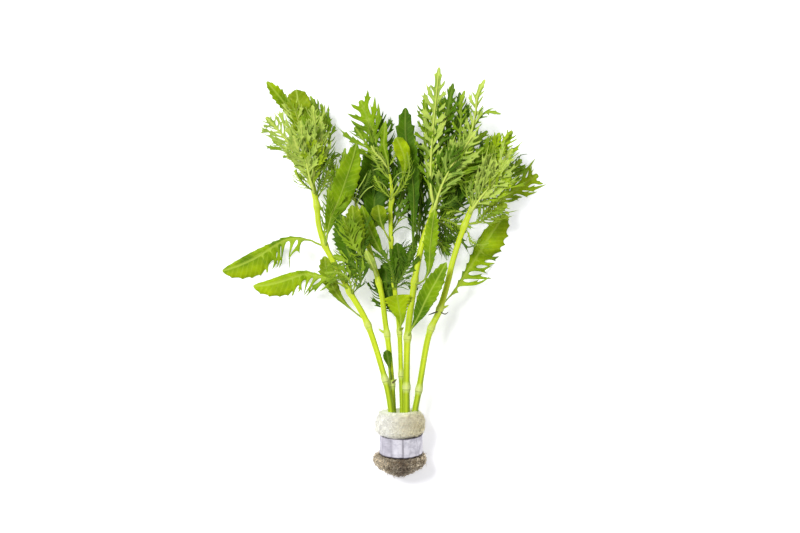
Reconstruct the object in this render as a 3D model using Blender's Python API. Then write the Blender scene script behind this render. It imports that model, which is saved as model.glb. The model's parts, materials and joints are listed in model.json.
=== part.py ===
"""Water wisteria, a cut bunch lying down: five leafy stems held by a wool plug and a soft metal strip.

Metres, +Z up. The stems run along +Y and the leaves spread along X. The lowest point is at z = 0.
"""

import bisect
import math

import bmesh
import bpy
from mathutils import Matrix, Vector
from mathutils.bvhtree import BVHTree

MM = 0.001

# Scale of the plant: one pixel of the photograph is half a millimetre on it.
PIXEL = 0.5 * MM
TIP_PIXEL = (400.0, 475.0)
GAP = 0.3 * MM

# Wool plug: its tilt with the stems' end up, the height of its axis at its widest place, and its profile as
# distance from the tip and radius in mm. What would lie below the surface is pressed flat.
PLUG_TILT = math.radians(8.0)
PLUG_AXIS_HEIGHT = 11.2 * MM
PLUG_WIDEST_AT = 8.5 * MM
PLUG_SIDES = 18
WAIST_RADIUS = 9.0
PLUG_PROFILE = (
    (0.0, 0.9),
    (0.9, 3.2),
    (2.8, 7.0),
    (5.2, 10.6),
    (7.6, 12.3),
    (9.1, 12.2),
    (10.1, 10.8),
    (10.7, WAIST_RADIUS),
    (21.7, WAIST_RADIUS),
    (22.5, 11.3),
    (24.0, 12.2),
    (28.0, 12.0),
    (31.0, 10.4),
    (32.3, 8.4),
)
# The plug is not quite round: waves round it, each as count, height and turn.
PLUG_WAVES = ((2, 0.018, 0.6), (3, 0.012, -1.0))

# Sockets in the plug, past the lower end of a stem and past the plug's rim.
SOCKET_BELOW = 0.5 * MM
SOCKET_ABOVE = 6.0 * MM

# Metal strip: wrapped a little more than once round the plug's waist.
STRIP_THICKNESS = 0.7 * MM
STRIP_WIDTH = 10.1 * MM
STRIP_MIDDLE = 16.2 * MM
STRIP_SLANT = 1.6 * MM
SLANT_REACH = 11.0 * MM
SLANT_FADE = 5.0 * MM
STRIP_LAP = math.radians(38.0)
STRIP_END_ANGLE = math.radians(82.0)
STRIP_STEPS = 34

# Stems: radius in mm, then the route as pixel x, pixel y and height in mm, then the pixel rows of the nodes.
STEM_SIDES = 7
NODE_SWELL = 1.32
NODE_HALF_LENGTH = 1.7 * MM
STEM_STEP_LEAST = 1.2 * MM
STEM_TIP_SHARE = 0.55
SPUR_TIP_SHARE = 0.3
STEMS = {
    "A": (
        1.45,
        ((392, 437, 15.6), (391, 411, 17.3), (385, 379, 18.6), (368, 325, 19.4), (350, 292, 19),
         (336, 266, 18), (325, 245, 17), (319, 225, 16), (317, 206, 15), (313, 186, 14),
         (310, 168, 13), (308, 150, 12)),
        (379, 325, 291, 245, 206, 176),
    ),
    "B": (
        1.35,
        ((394.6, 437, 11.6), (393.5, 411, 13.2), (392, 384, 14.4), (388.5, 345, 15.5), (385, 320, 15.5),
         (381.6, 294, 15), (374, 265, 14.5), (367, 240, 14), (360, 216, 13.5), (354, 198, 13)),
        (384, 333, 282, 240),
    ),
    "C": (
        1.15,
        ((401.6, 437, 11.4), (402, 411, 13), (401, 374, 14.2), (399.5, 332, 15.2), (396, 300, 15.8),
         (392, 260, 16), (391, 238, 15.8), (390.5, 210, 15.4), (392, 198, 15.2), (391, 182, 14.8),
         (388, 166, 14.2)),
        (374, 332, 285, 241, 199),
    ),
    "D": (
        1.6,
        ((405.2, 437, 15.4), (406.5, 411, 17), (406.5, 387, 18), (407.5, 337, 19.5), (412.5, 296, 19),
         (418, 262, 18.2), (424, 238, 17.4), (433, 213, 16.4), (436, 194, 15.6), (438, 176, 14.6)),
        (387, 337, 280, 213, 194),
    ),
    "E": (
        1.5,
        ((412.5, 437, 13.4), (415, 411, 15), (419, 389, 16), (426, 347, 17.3), (431, 328, 17.8),
         (439, 311, 17.6), (447, 285, 17.2), (453, 260, 16.6), (462, 232, 15.6), (470, 212, 14.8),
         (476, 198, 14), (482, 184, 13)),
        (389, 328, 309, 225, 204),
    ),
}
# Short dead spurs on the nodes: pixel row, direction across the stem (-1 left) and length in mm.
SPURS = {"B": ((333, -1, 3.4), (384, 1, 2.2)), "E": ((309, 1, 3.2),), "C": ((332, 1, 2.0),)}

# Leaf forms: how much of the length is stalk, where the blade is widest, how round it is and how much
# of it is a plain cone, then the count of lobes a side, how deep the cuts go on the left and the right
# and what is left of that at the tip, the left side's share of the width, how far a lobe leans towards
# the tip and how much of the margin it fills.
FORMS = {
    "broad": dict(stalk=0.16, widest=0.58, full=0.7, cone=0.0, lobes=4, left=0.16, right=0.16, even=1.0,
                  share=0.5, lean=0.5, fill=0.9),
    "spoon": dict(stalk=0.14, widest=0.72, full=0.75, cone=0.7, lobes=5, left=0.2, right=0.2, even=1.0,
                  share=0.5, lean=0.4, fill=0.9),
    "tooth_right": dict(stalk=0.08, widest=0.64, full=0.6, cone=0.7, lobes=6, left=0.5, right=0.86, even=0.2,
                        share=0.26, lean=0.1, fill=0.62),
    "comb_left": dict(stalk=0.1, widest=0.56, full=0.6, cone=0.6, lobes=6, left=0.84, right=0.3, even=0.1,
                      share=0.8, lean=0.1, fill=0.62),
    "strap": dict(stalk=0.14, widest=0.52, full=0.7, cone=0.0, lobes=3, left=0.08, right=0.08, even=1.0,
                  share=0.5, lean=0.6, fill=0.9),
    "round": dict(stalk=0.26, widest=0.74, full=0.6, cone=0.4, lobes=3, left=0.05, right=0.05, even=1.0,
                  share=0.5, lean=0.1, fill=0.9),
    "fork": dict(stalk=0.1, widest=0.66, full=0.75, cone=0.0, lobes=4, left=0.66, right=0.66, even=0.8,
                 share=0.5, lean=0.9, fill=0.6),
    "cut": dict(stalk=0.14, widest=0.5, full=0.7, cone=0.0, lobes=5, left=0.6, right=0.6, even=0.8,
                share=0.5, lean=0.9, fill=0.66),
    "comb": dict(stalk=0.12, widest=0.5, full=0.7, cone=0.0, lobes=5, left=0.76, right=0.76, even=1.0,
                 share=0.5, lean=1.1, fill=0.55),
    "fan": dict(stalk=0.1, widest=0.95, full=0.5, cone=0.95, lobes=3, left=0.08, right=0.08, even=1.0,
                share=0.5, lean=0.2, fill=0.9),
}
LEAF_THICKNESS = 0.55 * MM
LEAF_CLEARANCE = 0.35 * MM
# A leaf starts this far from the stem's skin, in front of it or behind it, or beside it where the leaf
# leaves the stem at a wide angle.
LEAF_SEAT = LEAF_CLEARANCE + 0.6 * LEAF_THICKNESS
SIDE_SEAT = 2 * GAP
WIDE_ANGLE_SHARE = 0.75
STALK_WIDTH = 1.3 * MM
WAIST_SHARE = 0.8
FIRST_LOBE = 0.06
EVEN_FROM = 0.25
EVEN_OVER = 0.45
LOBED_SHARE = 0.9
# A leaf reaches its height within the ramp, its halves rise from the midrib, and a laid leaf starts to
# go down after this share of its free length.
RAMP_LENGTH = 9.0 * MM
KEEL = 0.12
LAY_START = 0.35
LAID_HEIGHT = LEAF_THICKNESS / 2 + 0.02 * MM
LIFT_STEP = 0.5 * MM
LIFT_MOST = 30.0 * MM

# Tones of the leaves and the colours of the rest (linear).
TONES = {
    "bright": (0.36, 0.55, 0.03),
    "green": (0.14, 0.33, 0.03),
    "deep": (0.05, 0.16, 0.02),
    "olive": (0.23, 0.33, 0.06),
    "pale": (0.42, 0.52, 0.2),
}

UNDER, OVER = -1.0, 1.0
# Leaves in the order that they were laid against the stems, first those behind the stems and then
# those in front: name, side of the stems, route in pixels from the stem, full width in pixels,
# form, tone, roll in degrees, how far the tip rises in mm, and how much of the length lies down on
# the surface at the tip.
LEAVES = (
    ("leaf_A1", UNDER, ((366, 322), (350, 308), (338, 295), (330, 280), (326, 266), (324, 255)),
     19, "spoon", "olive", 4, -6, 0),
    ("leaf_C3", UNDER, ((390, 180), (384, 170), (379, 158), (375, 143), (369, 123), (360, 99.5)),
     34, "fork", "green", 6, -2, 0),
    ("leaf_C4", UNDER, ((391, 232), (399, 212), (403, 186), (399, 150)), 28, "cut", "deep", 12, -6, 0),
    ("leaf_C2", UNDER, ((395, 290), (399, 279), (405, 266), (412, 251), (418, 232)),
     9, "strap", "deep", -14, -2, 0),
    ("leaf_C1", UNDER, ((398, 318), (391, 302), (387, 286), (385, 262)), 24, "broad", "deep", 6, -4, 0),
    ("leaf_A6", UNDER, ((309, 157), (313, 146), (317, 135), (315, 115)), 20, "cut", "deep", -10, -4, 0),
    ("leaf_A9", UNDER, ((311, 167), (303, 160), (293, 148), (280, 132), (265, 116)),
     25, "comb", "pale", 0, 0, 0.5),
    ("leaf_A7", UNDER, ((313, 182), (321, 168), (325, 148), (323, 124), (310, 95)), 18, "cut", "green", -16, -5, 0),
    ("leaf_A8", UNDER, ((316, 200), (323, 188), (329, 170), (333, 158), (341, 154)), 11, "comb", "green", 0, -6, 0),
    ("leaf_B2", UNDER, ((354, 198), (344, 198), (336, 184), (331, 160)), 18, "cut", "pale", 10, -4, 0),
    ("leaf_B1", UNDER, ((367, 240), (373, 218), (374, 190), (371, 150)), 38, "broad", "deep", -8, -6, 0),
    ("leaf_D2", UNDER, ((438, 179), (446, 163), (453, 145), (459, 120), (459, 91)), 22, "cut", "deep", 14, -4, 0),
    ("leaf_D3", UNDER, ((437, 187), (441, 165), (446, 140), (450, 110), (451, 85)), 22, "cut", "green", -10, -2, 0),
    ("leaf_D4", UNDER, ((436, 196), (452, 180), (465, 157), (475, 142), (488, 130)), 24, "cut", "green", 16, -6, 0),
    ("leaf_D5", UNDER, ((430, 221), (438, 222), (446, 231), (451, 244)), 25, "comb", "deep", 0, -5, 0),
    ("leaf_D6", UNDER, ((427, 230), (440, 222), (449, 208), (456, 190), (462, 162)), 26, "broad", "deep", 12, -5, 0),
    ("leaf_D7", UNDER, ((421, 250), (419, 225), (421, 190), (421, 142)), 27, "cut", "deep", -6, -1, 0),
    ("leaf_D1", UNDER, ((416, 280), (413, 258), (413, 235), (414, 210), (413, 185), (409, 160),
                        (405, 135), (404.5, 107.5)), 24, "spoon", "deep", 8, 2, 0),
    ("leaf_E2", UNDER, ((480, 189), (490, 188), (505, 178), (522, 159)), 21, "cut", "green", -14, -5, 0),
    ("leaf_E3", UNDER, ((477, 196), (479, 180), (485, 160), (497, 136)), 22, "cut", "deep", 12, -2, 0),
    ("leaf_E4", UNDER, ((472, 208), (487, 206), (503, 199), (520, 187), (539, 174)), 30, "fork", "bright", 0, 0, 0.45),
    ("leaf_E1", UNDER, ((441, 306), (455, 290), (467, 272), (479, 252), (489, 235), (506, 213)),
     28, "tooth_right", "bright", 0, 0, 0.4),
    ("leaf_A2", OVER, ((349, 290), (335, 281), (325, 278), (305, 274), (290, 277), (270, 283), (252, 286)),
     23, "comb_left", "bright", 0, 0, 0.45),
    ("leaf_A4", OVER, ((325, 245), (310, 240), (291, 239), (279, 243), (264, 251), (240, 263), (221, 271)),
     27, "comb_left", "bright", 0, 0, 0.4),
    ("leaf_A5", OVER, ((326, 246), (328, 232), (332, 215), (340, 198), (347, 178), (353, 160), (357, 144)),
     27, "strap", "green", -10, 5, 0),
    ("leaf_A3", OVER, ((346, 284), (350, 271), (349, 255), (345, 238), (340, 214)), 26, "broad", "deep", 8, 0, 0),
    ("leaf_A10", OVER, ((353, 296), (357, 278), (351, 264), (342, 259), (333, 256)), 27, "comb", "green", 0, 0, 0),
    ("leaf_B3", OVER, ((374, 266), (366, 256), (357, 240), (352, 205)), 24, "broad", "olive", -10, 4, 0),
    ("leaf_B4", OVER, ((378, 277), (372, 264), (366, 250)), 10, "strap", "pale", 15, 2, 0),
    ("leaf_C10", OVER, ((390, 174), (387, 158), (384, 145), (385.5, 121)), 8, "strap", "green", 10, 4, 0),
    ("leaf_C9", OVER, ((392, 198), (399, 188), (404, 172), (404, 157), (396, 138)), 16, "round", "bright", -8, 8, 0),
    ("leaf_C5", OVER, ((391, 243), (386, 234), (381, 222), (378, 205)), 16, "round", "olive", 8, 5, 0),
    ("leaf_C6", OVER, ((392, 262), (386, 259), (378, 246), (369, 226), (362, 205)), 15, "strap", "green", 16, 4, 0),
    ("leaf_C7", OVER, ((395, 289), (398, 272), (399, 258), (397, 243)), 22, "broad", "deep", -8, 3, 0),
    ("leaf_C8", OVER, ((399.5, 332), (401, 320), (399, 308), (397, 295)), 33, "fan", "bright", 0, 4, 0),
    ("leaf_B5", OVER, ((391.5, 380), (389, 364), (386.5, 350)), 9, "round", "deep", 0, 2, 0),
    ("leaf_D9", OVER, ((415, 286), (424, 280), (429, 268), (430, 248), (434, 210)), 17, "broad", "green", 10, 4, 0),
    ("leaf_D8", OVER, ((408, 337), (413, 326), (419, 315), (427, 298), (437, 280), (447, 262)),
     21, "strap", "green", 14, 5, 0),
    ("leaf_D13", OVER, ((438, 178), (450, 165), (463, 149), (475, 125), (485, 113), (501, 115)),
     12, "comb", "green", 0, 8, 0),
    ("leaf_D12", OVER, ((437, 186), (450, 175), (460, 160), (469, 140), (475, 115), (477, 96), (484, 80)),
     20, "comb", "pale", 10, 5, 0),
    ("leaf_D11", OVER, ((436, 195), (430, 175), (429, 148), (427, 120), (423.5, 95)), 18, "cut", "green", -14, 3, 0),
    ("leaf_D10", OVER, ((434, 206), (431, 190), (431, 160), (433, 130), (436, 100), (438.7, 68)),
     25, "cut", "pale", 8, 6, 0),
    ("leaf_D14", OVER, ((432, 216), (440, 190), (451, 167), (463, 150), (475, 132)), 30, "cut", "pale", -6, 8, 0),
    ("leaf_E7", OVER, ((477, 196), (487, 178), (499, 155), (512, 131)), 28, "cut", "bright", 8, 5, 0),
    ("leaf_E6", OVER, ((472, 207), (470, 192), (475, 172), (486, 148)), 24, "broad", "green", -12, 4, 0),
    ("leaf_E8", OVER, ((469, 214), (481, 197), (495, 180), (508, 161)), 32, "comb", "pale", 0, 8, 0),
    ("leaf_E5", OVER, ((465, 223), (478, 223), (492, 214), (507, 204)), 27, "cut", "olive", -8, 1, 0),
    ("leaf_A12", OVER, ((308, 152), (301, 128), (292, 98)), 15, "broad", "bright", 8, 3, 0),
    ("leaf_A11", OVER, ((309, 161), (299, 135), (289, 110), (267, 82)), 15, "spoon", "bright", -8, 6, 0),
    ("leaf_A13", OVER, ((310, 170), (306, 140), (301, 112), (296, 90)), 24, "round", "olive", 0, 3, 0),
    ("leaf_A14", OVER, ((312, 181), (316, 165), (317, 140), (313, 106)), 24, "comb", "pale", -10, 6, 0),
    ("leaf_A15", OVER, ((315, 194), (309, 174), (305, 150), (301, 122)), 33, "cut", "pale", 6, 9, 0),
)


def plan(pixel_x, pixel_y, height=0.0):
    """A point of the plant from its pixel and its height in mm."""
    return Vector(((pixel_x - TIP_PIXEL[0]) * PIXEL, (TIP_PIXEL[1] - pixel_y) * PIXEL, height * MM))


def smooth(value):
    """0 to 1 with soft ends."""
    value = min(max(value, 0.0), 1.0)
    return value * value * (3.0 - 2.0 * value)


class Route:
    """A smooth curve through a few points, read by the distance along it."""

    STEPS = 10

    def __init__(self, points):
        ends = [2 * points[0] - points[1], *points, 2 * points[-1] - points[-2]]
        self.points = []
        for a, b, c, d in zip(ends, ends[1:], ends[2:], ends[3:]):
            for step in range(self.STEPS):
                u = step / self.STEPS
                self.points.append(
                    0.5 * (2 * b + (c - a) * u + (2 * a - 5 * b + 4 * c - d) * u**2
                           + (3 * b - a - 3 * c + d) * u**3)
                )
        self.points.append(points[-1])
        self.reach = [0.0]
        for a, b in zip(self.points, self.points[1:]):
            self.reach.append(self.reach[-1] + (b - a).length)
        self.length = self.reach[-1]

    def at(self, distance):
        """Point and direction there, carried straight on past either end."""
        i = min(max(bisect.bisect_right(self.reach, distance) - 1, 0), len(self.points) - 2)
        a, b = self.points[i], self.points[i + 1]
        way = (b - a).normalized()
        return a + way * (distance - self.reach[i]), way

    def nearest(self, x, y):
        """Distance along the route of its point nearest in plan."""
        best = min(range(len(self.points)),
                   key=lambda i: (self.points[i].x - x) ** 2 + (self.points[i].y - y) ** 2)
        return self.reach[best]

    def at_row(self, pixel_y):
        """Distance along the route where it crosses that row of the photograph."""
        y = plan(0, pixel_y).y
        best = min(range(len(self.points)), key=lambda i: abs(self.points[i].y - y))
        return self.reach[best]


def material(name, colour, roughness, metallic=0.0):
    finish = bpy.data.materials.new(name)
    finish.use_nodes = True
    shader = finish.node_tree.nodes["Principled BSDF"]
    shader.inputs["Base Color"].default_value = (*colour, 1.0)
    shader.inputs["Roughness"].default_value = roughness
    shader.inputs["Metallic"].default_value = metallic
    finish.diffuse_color = (*colour, 1.0)
    return finish


def face_outwards(bm):
    bmesh.ops.recalc_face_normals(bm, faces=bm.faces)
    if bm.calc_volume(signed=True) < 0.0:
        bmesh.ops.reverse_faces(bm, faces=bm.faces)


def finish_object(name, bm, finish, smooth_angle=35.0):
    face_outwards(bm)
    mesh = bpy.data.meshes.new(name)
    bm.to_mesh(mesh)
    bm.free()
    mesh.shade_smooth()
    mesh.set_sharp_from_angle(angle=math.radians(smooth_angle))
    mesh.materials.append(finish)
    piece = bpy.data.objects.new(name, mesh)
    bpy.context.scene.collection.objects.link(piece)
    return piece


def close_start(bm):
    """Fills the open end where a run of extrusions began."""
    bmesh.ops.holes_fill(bm, edges=[e for e in bm.edges if e.is_boundary])
    bmesh.ops.recalc_face_normals(bm, faces=bm.faces)


def plug_frame():
    """Turns the plug's own frame, its axis along +Y from the tip, to where it lies."""
    lift = PLUG_AXIS_HEIGHT - PLUG_WIDEST_AT * math.sin(PLUG_TILT)
    return Matrix.Translation((0.0, 0.0, lift)) @ Matrix.Rotation(PLUG_TILT, 4, "X")


def ring_wave(angle):
    """Radius at that angle as a share of the round one."""
    return 1.0 + sum(high * math.cos(count * angle + turn) for count, high, turn in PLUG_WAVES)


def slant(along, angle):
    """The waist and its strip sit a little askew, lower on the upper side."""
    near = smooth((SLANT_REACH - abs(along - STRIP_MIDDLE)) / SLANT_FADE)
    return -STRIP_SLANT * math.sin(angle) * near


def make_wool():
    bm = bmesh.new()
    ring = bmesh.ops.create_circle(bm, segments=PLUG_SIDES, radius=1.0, cap_ends=True)["verts"]
    bmesh.ops.rotate(bm, verts=ring, matrix=Matrix.Rotation(-math.pi / 2, 3, "X"))
    angles = {v: math.atan2(v.co.z, v.co.x) for v in ring}
    face = bm.faces[:][0]
    for number, (along, radius) in enumerate(PLUG_PROFILE):
        if number:
            old = list(face.verts)
            made = bmesh.ops.extrude_discrete_faces(bm, faces=[face])["faces"][0]
            for before, after in zip(old, made.verts):
                angles[after] = angles[before]
            face = made
        for v in face.verts:
            wide = radius * MM * ring_wave(angles[v])
            v.co = Vector((math.cos(angles[v]) * wide, along * MM + slant(along * MM, angles[v]),
                           math.sin(angles[v]) * wide))
    close_start(bm)
    bmesh.ops.transform(bm, verts=bm.verts, matrix=plug_frame())
    cut = bmesh.ops.bisect_plane(bm, geom=bm.verts[:] + bm.edges[:] + bm.faces[:], plane_co=(0, 0, 0),
                                 plane_no=(0, 0, -1), clear_outer=True)["geom_cut"]
    bmesh.ops.edgeloop_fill(bm, edges=[e for e in cut if isinstance(e, bmesh.types.BMEdge)])
    wool = finish_object("wool_wrap", bm, material("wool", (0.62, 0.58, 0.42), 0.95))
    for letter, (radius, points, _) in STEMS.items():
        drill = make_socket(letter, radius, points)
        cut = wool.modifiers.new("socket_" + letter, "BOOLEAN")
        cut.operation = "DIFFERENCE"
        cut.object = drill
    return wool


def make_socket(letter, radius, points):
    """The hole that a stem's end sits in, as a cutter."""
    inner, outer = plan(*points[0]), plan(*points[1])
    way = (outer - inner).normalized()
    start = inner - way * SOCKET_BELOW
    end = outer + way * SOCKET_ABOVE
    bm = bmesh.new()
    wide = (radius * MM + GAP) / math.cos(math.pi / STEM_SIDES)
    bmesh.ops.create_cone(bm, cap_ends=True, segments=STEM_SIDES, radius1=wide, radius2=wide,
                          depth=(end - start).length)
    turn = Vector((0, 0, 1)).rotation_difference(way).to_matrix().to_4x4()
    bmesh.ops.transform(bm, verts=bm.verts, matrix=Matrix.Translation((start + end) / 2) @ turn)
    drill = finish_object("socket_" + letter, bm, None)
    drill.hide_render = True
    drill.display_type = "WIRE"
    return drill


def make_strip():
    """One band whose outer end laps over its inner end, clear of it."""
    bm = bmesh.new()
    half = STRIP_WIDTH / 2
    corners = ((0, -half), (STRIP_THICKNESS, -half), (STRIP_THICKNESS, half), (0, half))
    face = bm.faces.new([bm.verts.new((r, y, 0)) for r, y in corners])
    turn = 2 * math.pi + STRIP_LAP
    inside = WAIST_RADIUS * MM + GAP
    for step in range(STRIP_STEPS + 1):
        if step:
            face = bmesh.ops.extrude_discrete_faces(bm, faces=[face])["faces"][0]
        share = step / STRIP_STEPS
        angle = STRIP_END_ANGLE - STRIP_LAP + turn * share
        rise = (STRIP_THICKNESS + GAP) * smooth((turn * share - 2 * math.pi + 2 * STRIP_LAP) / STRIP_LAP)
        sag = slant(STRIP_MIDDLE, angle)
        for v, (out, along) in zip(face.verts, corners):
            wide = (inside + rise) * ring_wave(angle) + out
            v.co = Vector((math.cos(angle) * wide, STRIP_MIDDLE + sag + along, math.sin(angle) * wide))
    close_start(bm)
    bmesh.ops.transform(bm, verts=bm.verts, matrix=plug_frame())
    return finish_object("lead_strip", bm, material("lead", (0.5, 0.5, 0.56), 0.45, 0.6))


def stem_radius(radius, nodes, distance):
    """Swollen at the nodes."""
    swell = max((1.0 - abs(distance - node) / (2 * NODE_HALF_LENGTH) for node in nodes), default=0.0)
    return radius * (1.0 + (NODE_SWELL - 1.0) * smooth(swell))


def make_stem(letter, finish):
    radius, points, rows = STEMS[letter]
    route = Route([plan(*p) for p in points])
    nodes = [route.at_row(row) for row in rows]
    stations = {0.0, route.length}
    for node in nodes:
        stations.update((node - 2 * NODE_HALF_LENGTH, node, node + 2 * NODE_HALF_LENGTH))
    stations.update(route.at_row(p[1]) for p in points[1:-1])
    kept = []
    for distance in sorted(stations):
        if 0.0 <= distance <= route.length and (not kept or distance - kept[-1] > STEM_STEP_LEAST):
            kept.append(distance)
    bm = bmesh.new()
    ring = bmesh.ops.create_circle(bm, segments=STEM_SIDES, radius=1.0, cap_ends=True)["verts"]
    unit = {v: v.co.copy() for v in ring}
    face = bm.faces[:][0]
    for number, distance in enumerate(kept):
        if number:
            old = list(face.verts)
            face = bmesh.ops.extrude_discrete_faces(bm, faces=[face])["faces"][0]
            for before, after in zip(old, face.verts):
                unit[after] = unit[before]
        centre, way = route.at(distance)
        across = way.cross(Vector((0, 0, 1))).normalized()
        up = across.cross(way)
        wide = stem_radius(radius * MM, nodes, distance)
        if number == len(kept) - 1:
            wide *= STEM_TIP_SHARE
        for v in face.verts:
            v.co = centre + (across * unit[v].x + up * unit[v].y) * wide
    close_start(bm)
    for row, side, length in SPURS.get(letter, ()):
        grow_spur(bm, route, route.at_row(row), side, length * MM)
    return finish_object("stem_" + letter, bm, finish, 50.0), route


def grow_spur(bm, route, distance, side, length):
    """A side face just past a node, drawn out to a blunt point."""
    centre, way = route.at(distance + NODE_HALF_LENGTH)
    out = way.cross(Vector((0, 0, 1))).normalized() * side
    face = max(bm.faces, key=lambda f: f.normal.dot(out) - (f.calc_center_median() - centre).length / MM)
    made = bmesh.ops.extrude_discrete_faces(bm, faces=[face])["faces"][0]
    middle = made.calc_center_median()
    target = middle + (out + way).normalized() * length
    for v in made.verts:
        v.co = target + (v.co - middle) * SPUR_TIP_SHARE


def leaf_rows(form, length, width):
    """Rows across a flat leaf: distance along it and the half widths of its two margins."""
    stalk = form["stalk"] * length
    power = math.log(0.5) / math.log(form["widest"])
    thin = STALK_WIDTH / 2

    def reach(share):
        share = min(max(share, 0.0), 1.0)
        cone = form["cone"] * min(share / form["widest"], (1.0 - share) / (1.0 - form["widest"]))
        return width * max(math.sin(math.pi * share**power) ** form["full"], cone)

    def margin(share, side, part):
        cut = form[side] * (1.0 + (form["even"] - 1.0) * smooth((share - EVEN_FROM) / EVEN_OVER))
        return max(reach(share) * part * (1.0 - cut), thin * WAIST_SHARE)

    parts = form["share"], 1.0 - form["share"]
    rows = [(stalk * part, thin, thin, None) for part in (0.5, 1.0)]
    step = LOBED_SHARE / form["lobes"]
    for lobe in range(form["lobes"]):
        middle = FIRST_LOBE + step * (lobe + 0.5)
        tips = [reach(middle) * part for part in parts]
        for share in (middle - step * form["fill"] / 2, middle + step * form["fill"] / 2):
            rows.append((stalk + share * (length - stalk), margin(share, "left", parts[0]),
                         margin(share, "right", parts[1]), tips))
    return rows


def leaf_pattern(form, length, width, thickness):
    """A flat leaf as a closed solid: x across, y along, z through."""
    bm = bmesh.new()
    thin = STALK_WIDTH / 2
    whole = max(form["left"], form["right"]) < 0.5
    row = [bm.verts.new((x, 0.0, 0.0)) for x in ((-thin, 0.0, thin) if whole else (-thin, thin))]
    edges = [bm.edges.new(pair) for pair in zip(row, row[1:])]
    lobes = []
    for number, (along, left, right, tips) in enumerate(leaf_rows(form, length, width)):
        made = bmesh.ops.extrude_edge_only(bm, edges=edges)["geom"]
        new = sorted((v for v in made if isinstance(v, bmesh.types.BMVert)), key=lambda v: v.co.x)
        for v, x in zip(new, (-left, 0.0, right) if whole else (-left, right)):
            v.co = Vector((x, along, 0.0))
        edges = [e for e in made if isinstance(e, bmesh.types.BMEdge) and all(v in new for v in e.verts)]
        if tips and number % 2:
            lobes.append((row[0], new[0], -tips[0]))
            lobes.append((row[-1], new[-1], tips[1]))
        row = new
    made = bmesh.ops.extrude_edge_only(bm, edges=edges)["geom"]
    bmesh.ops.pointmerge(bm, verts=[v for v in made if isinstance(v, bmesh.types.BMVert)],
                         merge_co=(0.0, length, 0.0))
    for first, second, full in lobes:
        edge = bm.edges.get((first, second))
        made = bmesh.ops.extrude_edge_only(bm, edges=[edge])["geom"]
        middle = (first.co + second.co) / 2
        out = max(abs(full) - abs(middle.x), 0.0)
        lean = form["lean"] * out + (second.co.y - first.co.y) * 0.2
        bmesh.ops.pointmerge(bm, verts=[v for v in made if isinstance(v, bmesh.types.BMVert)],
                             merge_co=(full, middle.y + lean, 0.0))
    for v in bm.verts:
        v.co.z = -thickness / 2
    made = bmesh.ops.extrude_face_region(bm, geom=bm.faces[:])["geom"]
    bmesh.ops.translate(bm, verts=[v for v in made if isinstance(v, bmesh.types.BMVert)],
                        vec=(0.0, 0.0, thickness))
    bmesh.ops.recalc_face_normals(bm, faces=bm.faces)
    return bm


class Leaf:
    """A leaf's place: its route in plan, its start on the stem, and its height along the route."""

    def __init__(self, row, stems):
        self.name, self.side, pixels, width, form, self.tone, roll, tip, self.laid = row
        self.form = FORMS[form]
        self.width = width * PIXEL
        self.roll = math.radians(roll)
        self.tip = tip * MM
        letter = self.name[5]
        radius, route = STEMS[letter][0] * MM * NODE_SWELL, stems[letter]
        points = [plan(*p) for p in pixels]
        centre, way = route.at(route.nearest(points[0].x, points[0].y))
        out = points[1] - points[0]
        flat_way = Vector((way.x, way.y, 0.0)).normalized()
        sideways = out - flat_way * out.dot(flat_way)
        self.base = centre.z
        if sideways.length > WIDE_ANGLE_SHARE * out.length:
            points[0] = Vector((centre.x, centre.y, 0.0)) + sideways.normalized() * (radius + SIDE_SEAT)
        else:
            points[0] = Vector((centre.x, centre.y, 0.0))
            self.base += self.side * (radius + LEAF_SEAT)
        self.route = Route(points)
        self.length = self.route.length
        self.lift = 0.0

    def height(self, distance):
        """Height of the midrib: up or down from the stem, and down to the surface at a laid tip."""
        risen = self.base + self.lift * smooth(distance / RAMP_LENGTH)
        risen += self.tip * (distance / self.length) ** 2
        return risen + (LAID_HEIGHT - risen) * self.on_surface(distance)

    def on_surface(self, distance):
        """How far the leaf is down on the surface, 0 to 1."""
        if not self.laid:
            return 0.0
        start = (1.0 - self.laid) * LAY_START
        return smooth((distance / self.length - start) / (1.0 - self.laid - start))

    def place(self, local):
        """A point of the flat leaf, carried to its place on the plant."""
        distance = local.y
        point, flat = self.route.at(distance)
        step = 0.5 * MM
        slope = (self.height(distance + step) - self.height(distance - step)) / (2 * step)
        way = Vector((flat.x, flat.y, slope)).normalized()
        across = Vector((flat.y, -flat.x, 0.0)).normalized()
        up = across.cross(way)
        free = (1.0 - self.on_surface(distance)) * smooth(distance / RAMP_LENGTH)
        turn = self.roll * free
        side = across * math.cos(turn) + up * math.sin(turn)
        normal = up * math.cos(turn) - across * math.sin(turn)
        keel = KEEL * abs(local.x) * free
        centre = Vector((point.x, point.y, self.height(distance)))
        return centre + side * local.x + normal * (local.z + keel)


def leaf_solid(leaf, thickness):
    """The leaf as a solid in its place."""
    bm = leaf_pattern(leaf.form, leaf.length, leaf.width, thickness)
    for v in bm.verts:
        v.co = leaf.place(v.co)
    return bm


def set_leaf(leaf, placed):
    """Moves the leaf's blade off the stems until it is clear of all that lies there already."""
    for number in range(int(LIFT_MOST / LIFT_STEP)):
        leaf.lift = leaf.side * LIFT_STEP * number
        probe = leaf_solid(leaf, LEAF_THICKNESS + 2 * LEAF_CLEARANCE)
        tree = BVHTree.FromBMesh(probe)
        probe.free()
        if not any(tree.overlap(other) for other in placed):
            return
    raise RuntimeError("no room for " + leaf.name)


def make_leaf(leaf, finishes):
    bm = leaf_solid(leaf, LEAF_THICKNESS)
    tree = BVHTree.FromBMesh(bm)
    return finish_object(leaf.name, bm, finishes[leaf.tone], 40.0), tree


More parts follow.
